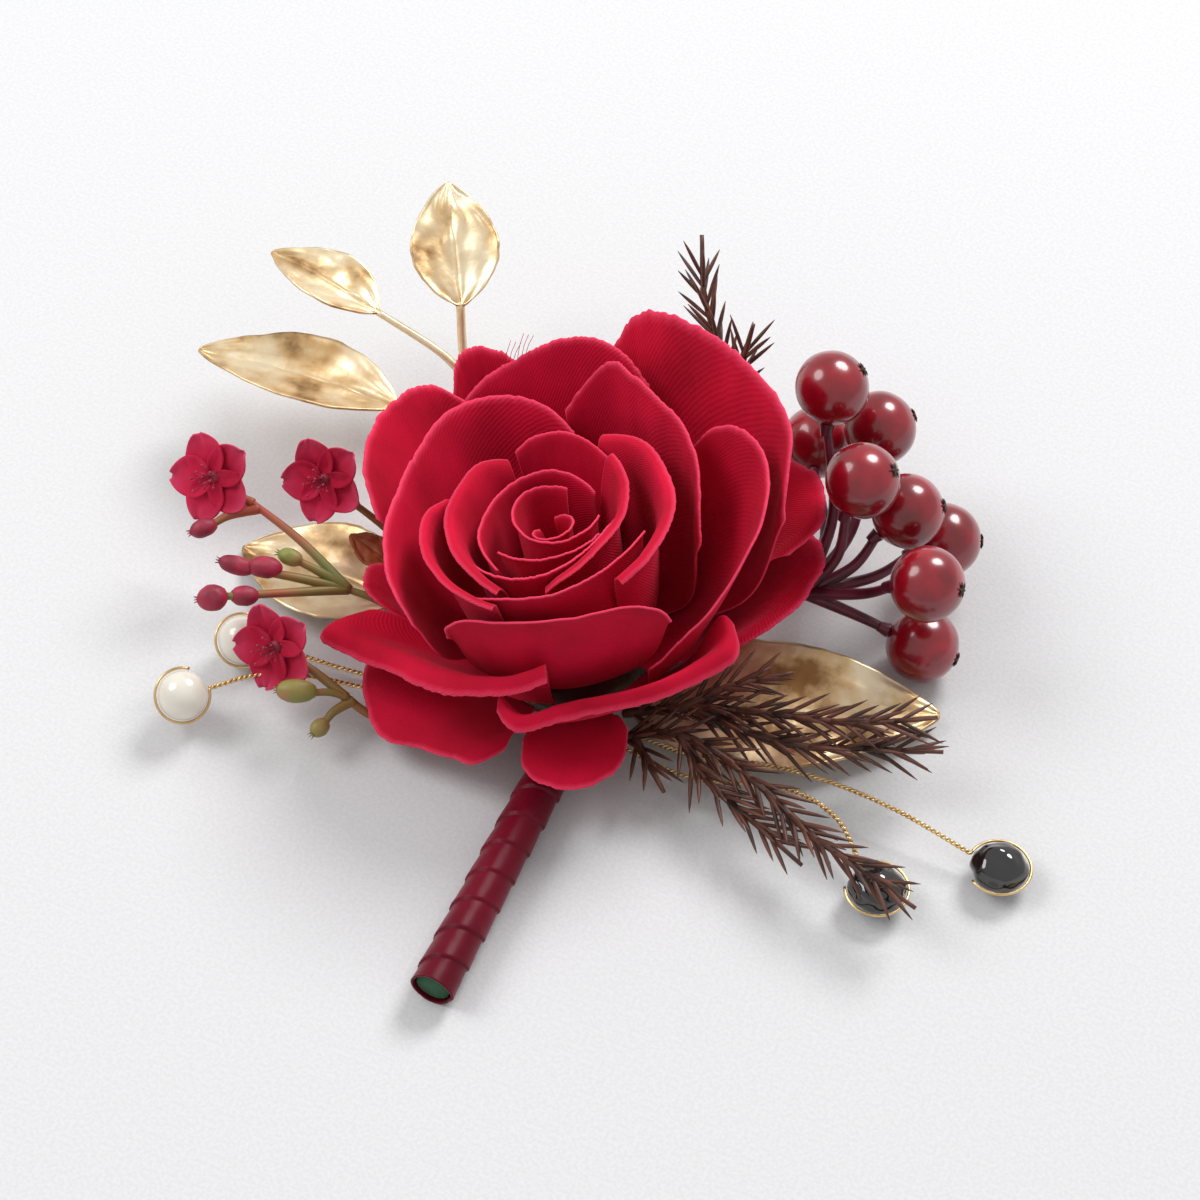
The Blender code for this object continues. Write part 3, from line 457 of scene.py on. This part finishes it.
# Short folds of cloth across the bud's front, which stand for no node of their own.
FRONT_FOLDS = [
    ("front_fold_inner", (4.6, 5.2, 60), (6.4, 10), (-0.4, -4),
     ((212, 7.6, 22.0), (240, 7.7, 22.8), (272, 7.5, 23.0), (300, 7.2, 22.9), (332, 7.0, 22.4))),
    ("front_fold_middle", (8.0, 5.0, 50), (9.0, 10), (-0.4, -5),
     ((200, 11.2, 22.0), (226, 11.9, 23.0), (250, 11.6, 23.1), (268, 10.9, 23.3), (300, 9.1, 23.5),
      (330, 8.4, 23.6), (350, 8.3, 22.8))),
    ("front_fold_outer", (9.9, 4.2, 40), (12.8, 9), (-0.8, -4),
     ((228, 15.5, 21.6), (248, 15.2, 22.8), (275, 14.6, 23.2), (300, 13.8, 23.6), (322, 13.3, 23.6),
      (340, 13.0, 22.8))),
]


def petal_look(index, surface, crease):
    """The petal's surface with soft wrinkles, a rim that curls over, and a frayed cut edge."""
    seed = Vector((7.3 * index, 2.1 * index, 0.0))

    def place(s, t):
        fray = (0.010 * noise.noise(Vector((s * 26, 3.1, 0)) + seed)
                + 0.006 * noise.noise(Vector((s * 70, 1.7, 0)) + seed))
        side_fray = 0.006 * abs(noise.noise(Vector((t * 30, s, 5)) + seed))
        point = surface(s * (1 - side_fray), t * (1 + fray * t))
        out = Vector((point.x, point.y, 0)).normalized()
        wave = noise.noise(Vector((s * 3.2, t * 2.4, 0.5)) + seed)
        fold = noise.noise(Vector((s * 9.0, t * 2.0, 4.5)) + seed)
        curl = max(0.0, (t - 0.88) / 0.12) ** 2
        lift = crease * (0.42 * wave + 0.16 * fold) * t + 0.35 * curl
        return point + out * lift - Vector((0, 0, 0.25 * curl))
    return place


def petal_edge(s, t):
    """How far a point is into the paler cut edge at the rim and, less so, at the sides."""
    rim = max(0.0, min(1.0, (t - 0.965) / 0.035))
    side = max(0.0, min(1.0, (abs(s) - 0.985) / 0.015))
    return rim + 0.5 * side


def rim_point(name, u):
    """A point on a cup petal's rim, u running from 0 to 1."""
    rim = next(spec[4] for spec in CUP_PETALS if spec[0] == name)
    azimuth, radius, height = along_row(rim, u)
    angle = math.radians(azimuth)
    return Vector((radius * math.cos(angle), radius * math.sin(angle), height))


def add_rose():
    tables = ((BUD_PETALS, 0.5), (CUP_PETALS, 1.0), (OUTER_PETALS, 1.2), (FRONT_FOLDS, 0.4))
    index = 0
    for table, crease in tables:
        for name, base, belly, over, rim in table:
            index += 1
            surface = petal_look(index, petal_surface(base, belly, over, rim), crease)
            mesh = sheet(*PETAL_GRID, surface, petal_edge)
            replaced = None if table is FRONT_FOLDS else name
            add_piece(name + "_cloth", mesh, "rose", ROSE, replaced, PETAL_CLOTH)
    threads = []
    for i in range(7):
        start = rim_point("back_petal", 0.62 + 0.02 * i)
        lift = Vector((0.9 + 0.4 * noise.noise(Vector((i, 0, 0))), 1.0, 1.6 + 0.5 * (i % 3)))
        end = start + lift * 1.2 + Vector((0.3, 0, 0))
        threads.append(tube([start, start + lift * 0.6, end], [0.05] * 3, 0))
    add_piece("loose_threads", join(threads), "rose", ROSE)


# ---------------------------------------------------------------- stem and ribbon

def add_ribbon():
    """Satin wound round the stem: each turn's upper edge lies over the one before, in a helix."""
    along = (STEM_TOP - STEM_FOOT).normalized()
    side = along.cross(Vector((0, 0, 1))).normalized()
    up = side.cross(along)
    length = (STEM_TOP - STEM_FOOT).length

    def place(s, t):
        angle = math.pi * s
        turns = t * RIBBON_WINDS + s / 2
        lap = turns - math.floor(turns)
        ripple = 0.05 * noise.noise(Vector((s * 4, t * 24, 0)))
        radius = RIBBON_RADIUS - 0.05 - LAP_DEPTH * lap + ripple
        flat = 1.0 - 0.09 * math.cos(2 * angle)
        return (STEM_FOOT + along * (t * length) + side * (radius * math.cos(angle))
                + up * (radius * flat * math.sin(angle)))
    mesh = sheet(72, 260, place)
    shape = bmesh.new()
    shape.from_mesh(mesh)
    bmesh.ops.remove_doubles(shape, verts=shape.verts, dist=1e-6)
    bmesh.ops.recalc_face_normals(shape, faces=shape.faces)
    shape.to_mesh(mesh)
    shape.free()
    add_piece("ribbon_satin", mesh, "ribbon", LAYOUT, "ribbon_wrap", RIBBON_CLOTH)
    line = [STEM_FOOT + along * k for k in (0.4, 4, 20, length - 0.2)]
    core = tube(line, [2.25, 2.3, 2.3, 2.3], 5)
    add_piece("stem_tape", core, "tape", LAYOUT, "stem_core")
    joint = ellipsoid(JOINT_CENTRE, (0, 0, 1), along, JOINT_SEMI_AXES, 40, 24, 0.10)
    add_piece("joint_tape", joint, "tape", LAYOUT, "taped_joint")


# ---------------------------------------------------------------- leaves

def leaf_surface(base, tip, width, tilt, cup, arch):
    """place(s, t) for a pointed leaf from base to tip. tilt turns it about its own midrib, cup
    lifts its sides and arch lifts its middle."""
    base = Vector(base)
    tip = Vector(tip)
    along = tip - base
    side = along.cross(Vector((0, 0, 1))).normalized()
    side = Matrix.Rotation(math.radians(tilt), 3, along.normalized()) @ side
    normal = side.cross(along).normalized()

    def place(s, t):
        half = width / 2 * (math.sin(math.pi * t ** 0.85) ** 0.8 * 0.97 + 0.03)
        point = base + along * t + side * (s * half)
        return point + normal * (cup * s * s * half / (width / 2) + arch * 4 * t * (1 - t))
    return place


LEAVES = [
    # name, base, tip, width, tilt, cup, arch, slot
    ("gold_leaf_left", (-28.6, 24.8, 12.5), (-56.9, 34.2, 14), 15.0, 12, 1.6, 0.8, "gilded_leaf"),
    ("gold_leaf_middle", (-31.6, 38.2, 17.6), (-46.9, 47.5, 20), 11.0, 10, 1.2, 0.5, "gilded_leaf"),
    ("gold_leaf_top", (-19.7, 38.0, 19.0), (-21.8, 54.5, 27), 12.6, 0, 1.2, 0.5, "gilded_leaf"),
    ("gold_leaf_low_left", (-27.2, -3.0, 4.0), (-50.0, 8.6, 1.0), 17.0, 0, 1.0, 0.5, "gilded_leaf"),
    ("gold_leaf_right", (4.4, -20.2, 1.5), (45.5, -21.5, 2.4), 20.0, 6, 1.4, 1.0, "gilded_leaf"),
    ("brown_leaf_left", (-29.0, 1.2, 6.6), (-34.4, 4.8, 8.2), 5.0, 0, 0.3, 0.3, "brown_leaf"),
]


GOLD_STEMS = [
    # points, first and last radius
    ([(-1.0, -14.2, 1.5), (-6, -6, 1.0), (-12, 7, 1.0), (-16, 22, 2.6), (-19.2, 33, 12),
      (-19.8, 38.6, 19.2)], 0.85, 0.62),
    ([(-18.6, 31.4, 10.4), (-23, 34, 14), (-32.0, 38.4, 17.7)], 0.7, 0.5),
    ([(-16.2, 22.4, 2.9), (-20, 23.5, 9), (-29.4, 25.0, 12.6)], 0.7, 0.5),
    ([(-6.6, -4.6, 1.0), (-16, -3.6, 1.1), (-28.0, -2.6, 4.0)], 0.65, 0.5),
]


def leaf_look(index, surface, wave):
    """The leaf with a pressed midrib, side veins and a slightly wavy edge."""
    def place(s, t):
        point = surface(s * (1 + 0.03 * noise.noise(Vector((t * 14, index, 0)))), t)
        rib = -0.5 * math.exp(-(s / 0.05) ** 2) * (1 - t)
        vein = 0.10 * math.sin(26 * (t + 0.25 * abs(s))) * abs(s) * (1 - abs(s) ** 4)
        crinkle = wave * noise.noise(Vector((s * 3, t * 6, index * 3.7)))
        return point + Vector((0, 0, rib + vein + crinkle))
    return place


def add_leaves():
    for index, (name, base, tip, width, tilt, cup, arch, slot) in enumerate(LEAVES):
        surface = leaf_look(index, leaf_surface(base, tip, width, tilt, cup, arch), 0.35)
        mesh = sheet(*LEAF_GRID, surface)
        look = "foil" if slot == "gilded_leaf" else "brown"
        add_piece(name + "_pressed", mesh, look, LAYOUT, name, LEAF_FOIL)
    stems = [strand(points, first, last) for points, first, last in GOLD_STEMS]
    add_piece("gold_stem_painted", join(stems), "foil", LAYOUT, "gold_sprig_stem")


# ---------------------------------------------------------------- berries

# The berries' centres, and the point where their stems meet.
BERRIES = [
    (31.2, 13.5, 29.0), (38.4, 15.1, 19.0), (30.3, 18.6, 12.0), (34.7, -1.1, 27.0),
    (41.4, 0.7, 18.5), (47.4, 3.4, 9.0), (43.1, -12.6, 19.5), (43.6, -12.0, 5.4),
]
BERRY_HUB = Vector((27.4, -7.0, 10.6))


def calyx(centre, out):
    """The dried star at a berry's outer end: six short blades round a dot."""
    tip = centre + out * (BERRY_RADIUS * 0.985)
    across = out.cross(Vector((0, 0, 1))).normalized()
    blades = [ellipsoid(tip, across, out, (0.22, 0.5, 0.5), 12, 8)]
    for k in range(6):
        angle = math.radians(60 * k + 10)
        aim = across * math.cos(angle) + out.cross(across) * math.sin(angle)
        end = tip + aim * 1.15 - out * 0.06
        blades.append(tube([tip, tip + aim * 0.6 + out * 0.05, end], [0.2, 0.17, 0.04], 1))
    return blades


def add_berries():
    stems = [strand([(3.4, -18.0, 3.8), (12, -13.6, 5.4), (19, -10.4, 6.8), BERRY_HUB], 1.0, 1.1)]
    stars = []
    for i, centre in enumerate(BERRIES):
        centre = Vector(centre)
        reach = centre - BERRY_HUB
        out = (reach.normalized() + Vector((0.9, -0.55, 0.1))).normalized()
        semi = (BERRY_RADIUS * 0.97, BERRY_RADIUS, BERRY_RADIUS)
        mesh = ellipsoid(centre, out.cross(Vector((0, 0, 1))), out, semi, 48, 32, 0.012)
        add_piece(f"berry_{i + 1}_lacquered", mesh, "berry", LAYOUT, f"berry_{i + 1}")
        stars += calyx(centre, out)
        end = centre - reach.normalized() * (BERRY_RADIUS - 0.1)
        middle = BERRY_HUB + (end - BERRY_HUB) * 0.5 + Vector((0.09, 0, -0.05)) * reach.length
        stems.append(strand([BERRY_HUB, middle, end], 0.9, 0.62))
        stems.append(strand([end - reach.normalized() * 1.6, end], 0.7, 1.05))
    add_piece("berry_stems_plum", join(stems), "berry_stem", LAYOUT, "berry_stems")
    add_piece("berry_stars", join(stars), "calyx")


# ---------------------------------------------------------------- needle sprigs

NEEDLE_LEAN = math.radians(40)
NEEDLE_STEP = 0.62
BARE_TIP = 4.5
NEEDLE_RADII = (0.22, 0.28, 0.31, 0.30, 0.25, 0.17, 0.04)
SPRIGS = [
    # name, paths: each a row of points along one twig
    ("needle_sprig_top", [
        ((17.5, 10, 5.0), (20, 20, 9.5), (18.0, 27, 16), (14.7, 34.5, 24), (14.2, 41.2, 30)),
        ((18.6, 25, 14.5), (20, 27, 20), (21.2, 28.4, 25.5)),
    ]),
    ("needle_sprig_right", [
        ((3.2, -22.2, 3.8), (13.2, -24.6, 8.5), (24, -27.5, 10.6), (34, -29.4, 11.6),
         (44, -28.8, 12)),
        ((12.0, -24.4, 8.0), (24, -30.5, 8.6), (35, -31.4, 8.6), (44.8, -32.2, 9)),
        ((11, -24.0, 7.6), (17, -23.4, 11.5), (25.4, -22.4, 13.2)),
    ]),
    ("needle_sprig_front", [
        ((2.0, -26.0, 3.6), (11.0, -28.6, 7.6), (20, -36.5, 8.6), (27, -45, 8.8), (33.5, -50.4, 8.6),
         (39.8, -55.6, 8)),
        ((10.4, -28.2, 7.4), (14, -35, 6.6), (20, -41, 5.6), (26, -46.8, 4.4)),
        ((4.6, -26.8, 4.6), (6.4, -31, 4.6), (8.4, -35, 3.8)),
    ]),
]


def needle(root, aim, length, bend):
    """One pointed blade, slightly bent."""
    middle = root + aim * length * 0.55 + bend * 0.25
    line = smooth_line([root, middle, root + aim * length + bend], 3)
    return tube(line, NEEDLE_RADII[:len(line)], 1)


def needles(path, twig):
    """Blades all round a twig, leaning forward, and none pointing down where it lies low."""
    line = smooth_line(path, 12)
    found = []
    walked = 0.0
    last = sum((b - a).length for a, b in zip(line, line[1:])) - BARE_TIP
    for a, b in zip(line, line[1:]):
        walked += (b - a).length
        if walked > last:
            break
        along = (b - a).normalized()
        while walked > NEEDLE_STEP * (len(found) + 1) and b.z > 3.4:
            k = len(found)
            side = along.cross(Vector((0, 0, 1))).normalized()
            roll = math.radians(SPIRAL_STEP * k)
            if math.sin(roll) < -0.2 and b.z < 7:
                roll = -roll
            out = side * math.cos(roll) + side.cross(along) * math.sin(roll)
            lean = NEEDLE_LEAN * (0.8 + 0.4 * noise.noise(Vector((k, twig, 0))))
            aim = along * math.cos(lean) + out * math.sin(lean)
            length = 6.3 + 2.0 * noise.noise(Vector((k * 1.7, twig, 3)))
            found.append(needle(b, aim, length, Vector((0, 0, -0.2))))
    return found


def add_sprigs():
    twig = 0
    for name, paths in SPRIGS:
        pieces = []
        for path in paths:
            twig += 1
            pieces.append(strand(path, 0.7, 0.3, 8, 1))
            pieces += needles(path, twig)
        add_piece(name + "_bristly", join(pieces), "needle", LAYOUT, name)


# ---------------------------------------------------------------- blossom spray

SPRAYS = [
    ("blossom_spray_left", [
        ((-6.9, -17.8, 2.4), (-15, -13.6, 1.6), (-23.5, -9.0, 3.4), (-29.4, -7.0, 8.2),
         (-34.5, -5.8, 10)),
        ((-34.0, -5.9, 9.9), (-40.9, 1.0, 12), (-48.0, 6.5, 13.8)),
        ((-46.5, 5.4, 13.4), (-50.5, 4.4, 13.2), (-52.6, 3.1, 13.0)),
        ((-34.0, -5.9, 9.9), (-40.3, -8.0, 12), (-50.2, -10.2, 13.8)),
        ((-34.0, -5.9, 9.9), (-41.0, -6.3, 13), (-47.6, -5.6, 14)),
        ((-34.0, -5.9, 9.9), (-38.0, -4.9, 12.6), (-41.0, -3.9, 13.8)),
    ], [
        ((-54.0, 2.4, 12.9), (-1, -0.5, 0), (2.0, 1.3, 1.3)),
        ((-51.7, -10.6, 14.0), (-1, -0.2, 0.1), (2.1, 1.8, 1.8)),
        ((-47.6, -9.6, 13.2), (-1, 0, 0), (2.0, 1.4, 1.4)),
        ((-48.8, -5.2, 14.2), (-1, 0.2, 0.2), (2.6, 1.3, 1.3)),
        ((-45.0, -5.5, 14.2), (-1, 0.1, 0), (2.4, 1.5, 1.5)),
        ((-41.7, -3.7, 14.1), (-1, 0.3, 0.2), (1.8, 1.2, 1.2)),
    ]),
    ("blossom_spray_back", [
        ((-6.0, -13.2, 1.0), (-14, -5, 2.0), (-24, 2.6, 4.4), (-29.6, 5.6, 9), (-34.0, 7.2, 12.6)),
    ], []),
    ("blossom_spray_front", [
        ((-8.8, -23.0, 2.2), (-18, -22.6, 1.8), (-29.5, -21.8, 2.2), (-34.6, -21.0, 6.4),
         (-38.6, -21.8, 8.0)),
        ((-33.0, -21.1, 5.2), (-35.4, -23.2, 5.6), (-36.6, -24.8, 5.2)),
    ], [
        ((-40.2, -22.0, 8.6), (-1, -0.1, 0.2), (2.8, 1.6, 1.6)),
        ((-37.2, -25.4, 5.0), (-0.6, -0.7, 0), (1.5, 1.2, 1.2)),
    ]),
]
BLOSSOMS = [
    # name, centre, the way it faces, petal length
    ("blossom_left", (-52.8, 9.0, 15.8), (-0.75, -0.25, 0.6), 5.0),
    ("blossom_back", (-37.6, 8.6, 15.8), (-0.7, -0.45, 0.55), 4.8),
    ("blossom_front", (-43.2, -15.8, 10.2), (-0.8, -0.35, 0.45), 4.8),
]
# Short stalks that reach from each spray to its blossom.
STALKS = {
    "blossom_spray_left": [((-47.4, 6.0, 13.7), (-49.8, 7.2, 14.2), (-52.4, 8.9, 15.4))],
    "blossom_spray_back": [((-33.6, 7.0, 12.3), (-35.2, 7.8, 13.6), (-37.3, 8.5, 15.4))],
    "blossom_spray_front": [((-33.8, -21.1, 5.8), (-38.0, -18.6, 8.2), (-42.8, -15.9, 9.8))],
}
TOWARDS_VIEW = Vector((0.15, -0.75, 0.35))


def add_blossoms():
    for name, stems, buds in SPRAYS:
        pieces = [strand(points, 0.75, 0.5, 8, 2) for points in (*stems, *STALKS[name])]
        add_piece(name + "_twigs", join(pieces), "spray", LAYOUT, name)
        for k, (centre, along, semi) in enumerate(buds):
            centre, along = Vector(centre), Vector(along).normalized()
            green = not 1.9 <= semi[0] <= 2.7
            bud = [ellipsoid(centre, (0, 0, 1), along, semi, 24, 16, 0.06)]
            for j in range(6):
                angle = math.radians(60 * j)
                side = along.cross(Vector((0, 0, 1))).normalized()
                out = side * math.cos(angle) + along.cross(side) * math.sin(angle)
                tip = centre + along * semi[0] * 0.9
                bud.append(tube([tip + out * 0.25, tip + along * 0.6 + out * 0.5], [0.12, 0.03], 0))
            add_piece(f"{name}_bud_{k + 1}", join(bud), "green_bud" if green else "bud")
    for index, (name, centre, facing, length) in enumerate(BLOSSOMS):
        facing = (Vector(facing) + TOWARDS_VIEW).normalized()
        add_blossom(index, name, Vector(centre), facing, length * BLOSSOM_GROWTH)


def add_blossom(index, name, centre, facing, length):
    """Five cupped cloth petals, a dark heart and a tuft of stamens."""
    across = facing.cross(Vector((0, 0, 1))).normalized()
    petals = []
    for k in range(5):
        angle = math.radians(20 + 72 * k)
        out = across * math.cos(angle) + facing.cross(across) * math.sin(angle)
        side = facing.cross(out)
        rise = 0.25 + 0.35 * noise.noise(Vector((k, index, 1)))

        def place(s, t, out=out, side=side, rise=rise, k=k):
            half = length * 0.50 * math.sin(math.pi * min(1.0, t * 0.86 + 0.12)) ** 0.6
            cup = 0.28 * length * (s * s * 0.5 + t * t * rise)
            wave = 0.35 * noise.noise(Vector((s * 2, t * 3, k + 5 * index)))
            return centre + out * (0.4 + t * length) + side * (s * half) + facing * (cup + wave)
        petals.append(sheet(16, 16, place, lambda s, t: 0.5 * t ** 4))
    add_piece(name + "_petals", join(petals), "blossom", LAYOUT, name, BLOSSOM_CLOTH)
    heart = [ellipsoid(centre - facing * 0.8, across, facing, (1.7, 1.2, 1.2), 20, 14, 0.1)]
    for k in range(12):
        angle = math.radians(SPIRAL_STEP * k)
        out = across * math.cos(angle) + facing.cross(across) * math.sin(angle)
        tip = centre + facing * (2.4 + 0.5 * (k % 3)) + out * (0.5 + 0.14 * k)
        heart.append(tube([centre, tip], [0.09, 0.07], 0))
        heart.append(ellipsoid(tip, across, facing, (0.24, 0.2, 0.2), 8, 6))
    add_piece(name + "_heart", join(heart), "bud")


# ---------------------------------------------------------------- pearls, beads and wires

WIRES = [
    # name, path, what it holds, that piece's centre, the way its loop faces
    ("pearl_wire_1", ((-8.2, -20.9, 2.2), (-20, -18.6, 1.6), (-31, -17.8, 3.4), (-38, -17.6, 5.6),
                      (-45.3, -17.6, 6.4)), "pearl_1", (-55.8, -20.4, 5.4), (0.3, -0.6, 0.8)),
    ("pearl_wire_2", ((-7.6, -19.4, 2.2), (-20, -16.4, 1.4), (-32, -14.2, 1.8), (-41, -11.8, 3.0)),
     "pearl_2", (-48.6, -10.0, 3.9), (0.2, -0.5, 0.9)),
    ("bead_wire_1", ((3.4, -24.2, 2.6), (12, -29.6, 4.6), (22.3, -32.0, 5.6), (30.6, -34.4, 5.0),
                     (39.1, -38.6, 4.5)), "bead_1", (51.6, -46.2, 3.0), (0, 0, 1)),
    ("bead_wire_2", ((2.4, -25.8, 1.5), (12, -31.8, 2.6), (24, -35.0, 4.8), (30.6, -39.6, 4.8)),
     "bead_2", (35.6, -49.4, 3.0), (0, 0, 1)),
]


def twisted(line, radius):
    """Two fine strands that wind round each other along a line."""
    strands = []
    for phase in (0.0, math.pi):
        points = []
        walked = 0.0
        for i, here in enumerate(line):
            ahead = line[min(i + 1, len(line) - 1)] - line[max(i - 1, 0)]
            along = ahead.normalized()
            side = along.cross(Vector((0, 0, 1))).normalized()
            angle = phase + 2 * math.pi * walked / TWIST_PITCH
            out = side * math.cos(angle) + side.cross(along) * math.sin(angle)
            points.append(here + out * radius * 0.5)
            if i + 1 < len(line):
                walked += (line[i + 1] - here).length
        strands.append(tube(points, [radius * 0.5] * len(points), 1))
    return strands


def add_wires():
    for name, path, held, centre, facing in WIRES:
        centre, facing = Vector(centre), Vector(facing).normalized()
        if held.startswith("pearl"):
            radius = PEARL_RADIUS
            mesh = ellipsoid(centre, facing, (1, 0, 0), (radius, radius, radius), 48, 32)
            add_piece(held + "_glossed", mesh, "pearl", LAYOUT, held)
        else:
            radius = BEAD_SEMI_AXES.x
            mesh = ellipsoid(centre, facing, (1, -0.4, 0), BEAD_SEMI_AXES, 48, 30, 0.10)
            add_piece(held + "_jet", mesh, "bead", LAYOUT, held)
        start = Vector(path[-1]) - centre
        start = (start - facing * start.dot(facing)).normalized()
        across = facing.cross(start)
        loop_radius = radius + LOOP_GAP
        loop = []
        for i in range(LOOP_STEPS):
            angle = LOOP_SWEEP * i / (LOOP_STEPS - 1)
            loop.append(centre + (start * math.cos(angle) - across * math.sin(angle)) * loop_radius)
        line = smooth_line([*path, loop[0]], 40)
        pieces = twisted(line, 0.36) + [tube(loop, [0.2] * len(loop), 2)]
        add_piece(name + "_gilt", join(pieces), "wire", LAYOUT, name)


# ---------------------------------------------------------------- floor, light and camera

def add_stage():
    """A plain pale floor."""
    shape = bmesh.new()
    bmesh.ops.create_grid(shape, x_segments=1, y_segments=1, size=3.0)
    mesh = bpy.data.meshes.new("floor")
    shape.to_mesh(mesh)
    shape.free()
    mesh.materials.append(mottled("pale_cloth", [(0.4, (0.63, 0.63, 0.64)), (0.6, (0.67, 0.67, 0.68))],
                                 0.9, 2000, 0.1))
    floor = bpy.data.objects.new("floor", mesh)
    bpy.context.scene.collection.objects.link(floor)


def area_light(name, place, size, power):
    """A round soft light at a place in the layout, in metres, aimed at the object."""
    light = bpy.data.lights.new(name, "AREA")
    light.shape = "DISK"
    light.size = size
    light.energy = power
    obj = bpy.data.objects.new(name, light)
    bpy.context.scene.collection.objects.link(obj)
    spot = LAYOUT @ Vector(place)
    obj.location = spot
    obj.rotation_euler = (Vector((0, 0, 0.02)) - spot).to_track_quat("-Z", "Y").to_euler()


def add_light():
    """Two soft lights in an even room, whose backdrop looks paler than the light it gives."""
    world = bpy.data.worlds.new("soft_room")
    bpy.context.scene.world = world
    world.use_nodes = True
    background = world.node_tree.nodes["Background"]
    background.inputs["Color"].default_value = (1.0, 1.0, 1.0, 1.0)
    tree = world.node_tree
    rays = node(tree, "ShaderNodeLightPath")
    strength = node(tree, "ShaderNodeMath", operation="MULTIPLY_ADD")
    strength.inputs[1].default_value = BACKDROP - ROOM_LIGHT
    strength.inputs[2].default_value = ROOM_LIGHT
    tree.links.new(rays.outputs["Is Camera Ray"], strength.inputs[0])
    tree.links.new(strength.outputs[0], background.inputs["Strength"])
    area_light("key", (0.45, 0.55, 0.75), 0.45, 7.5)
    area_light("fill", (-0.6, 0.15, 0.7), 0.5, 3.5)


def add_camera():
    """Looks at the layout's origin from above the stem's foot."""
    data = bpy.data.cameras.new("view")
    data.sensor_width = 36.0
    data.lens = CAMERA_LENS
    data.clip_start = 0.01
    camera = bpy.data.objects.new("view", data)
    bpy.context.scene.collection.objects.link(camera)
    spot = Vector((0, -math.cos(CAMERA_RISE), math.sin(CAMERA_RISE))) * CAMERA_REACH
    turn = (-spot).to_track_quat("-Z", "Y").to_matrix().to_4x4()
    camera.matrix_world = LAYOUT @ Matrix.Translation(spot) @ turn
    bpy.context.scene.camera = camera


# ---------------------------------------------------------------- build

add_rose()
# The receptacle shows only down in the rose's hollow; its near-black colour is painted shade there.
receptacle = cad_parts["rose_receptacle"]
for slot in receptacle.material_slots:
    slot.material = LOOKS["calyx_painted_shade"]
add_ribbon()
add_leaves()
add_berries()
add_sprigs()
add_blossoms()
add_wires()
add_stage()
add_light()
add_camera()
bpy.context.scene.view_settings.view_transform = "Standard"
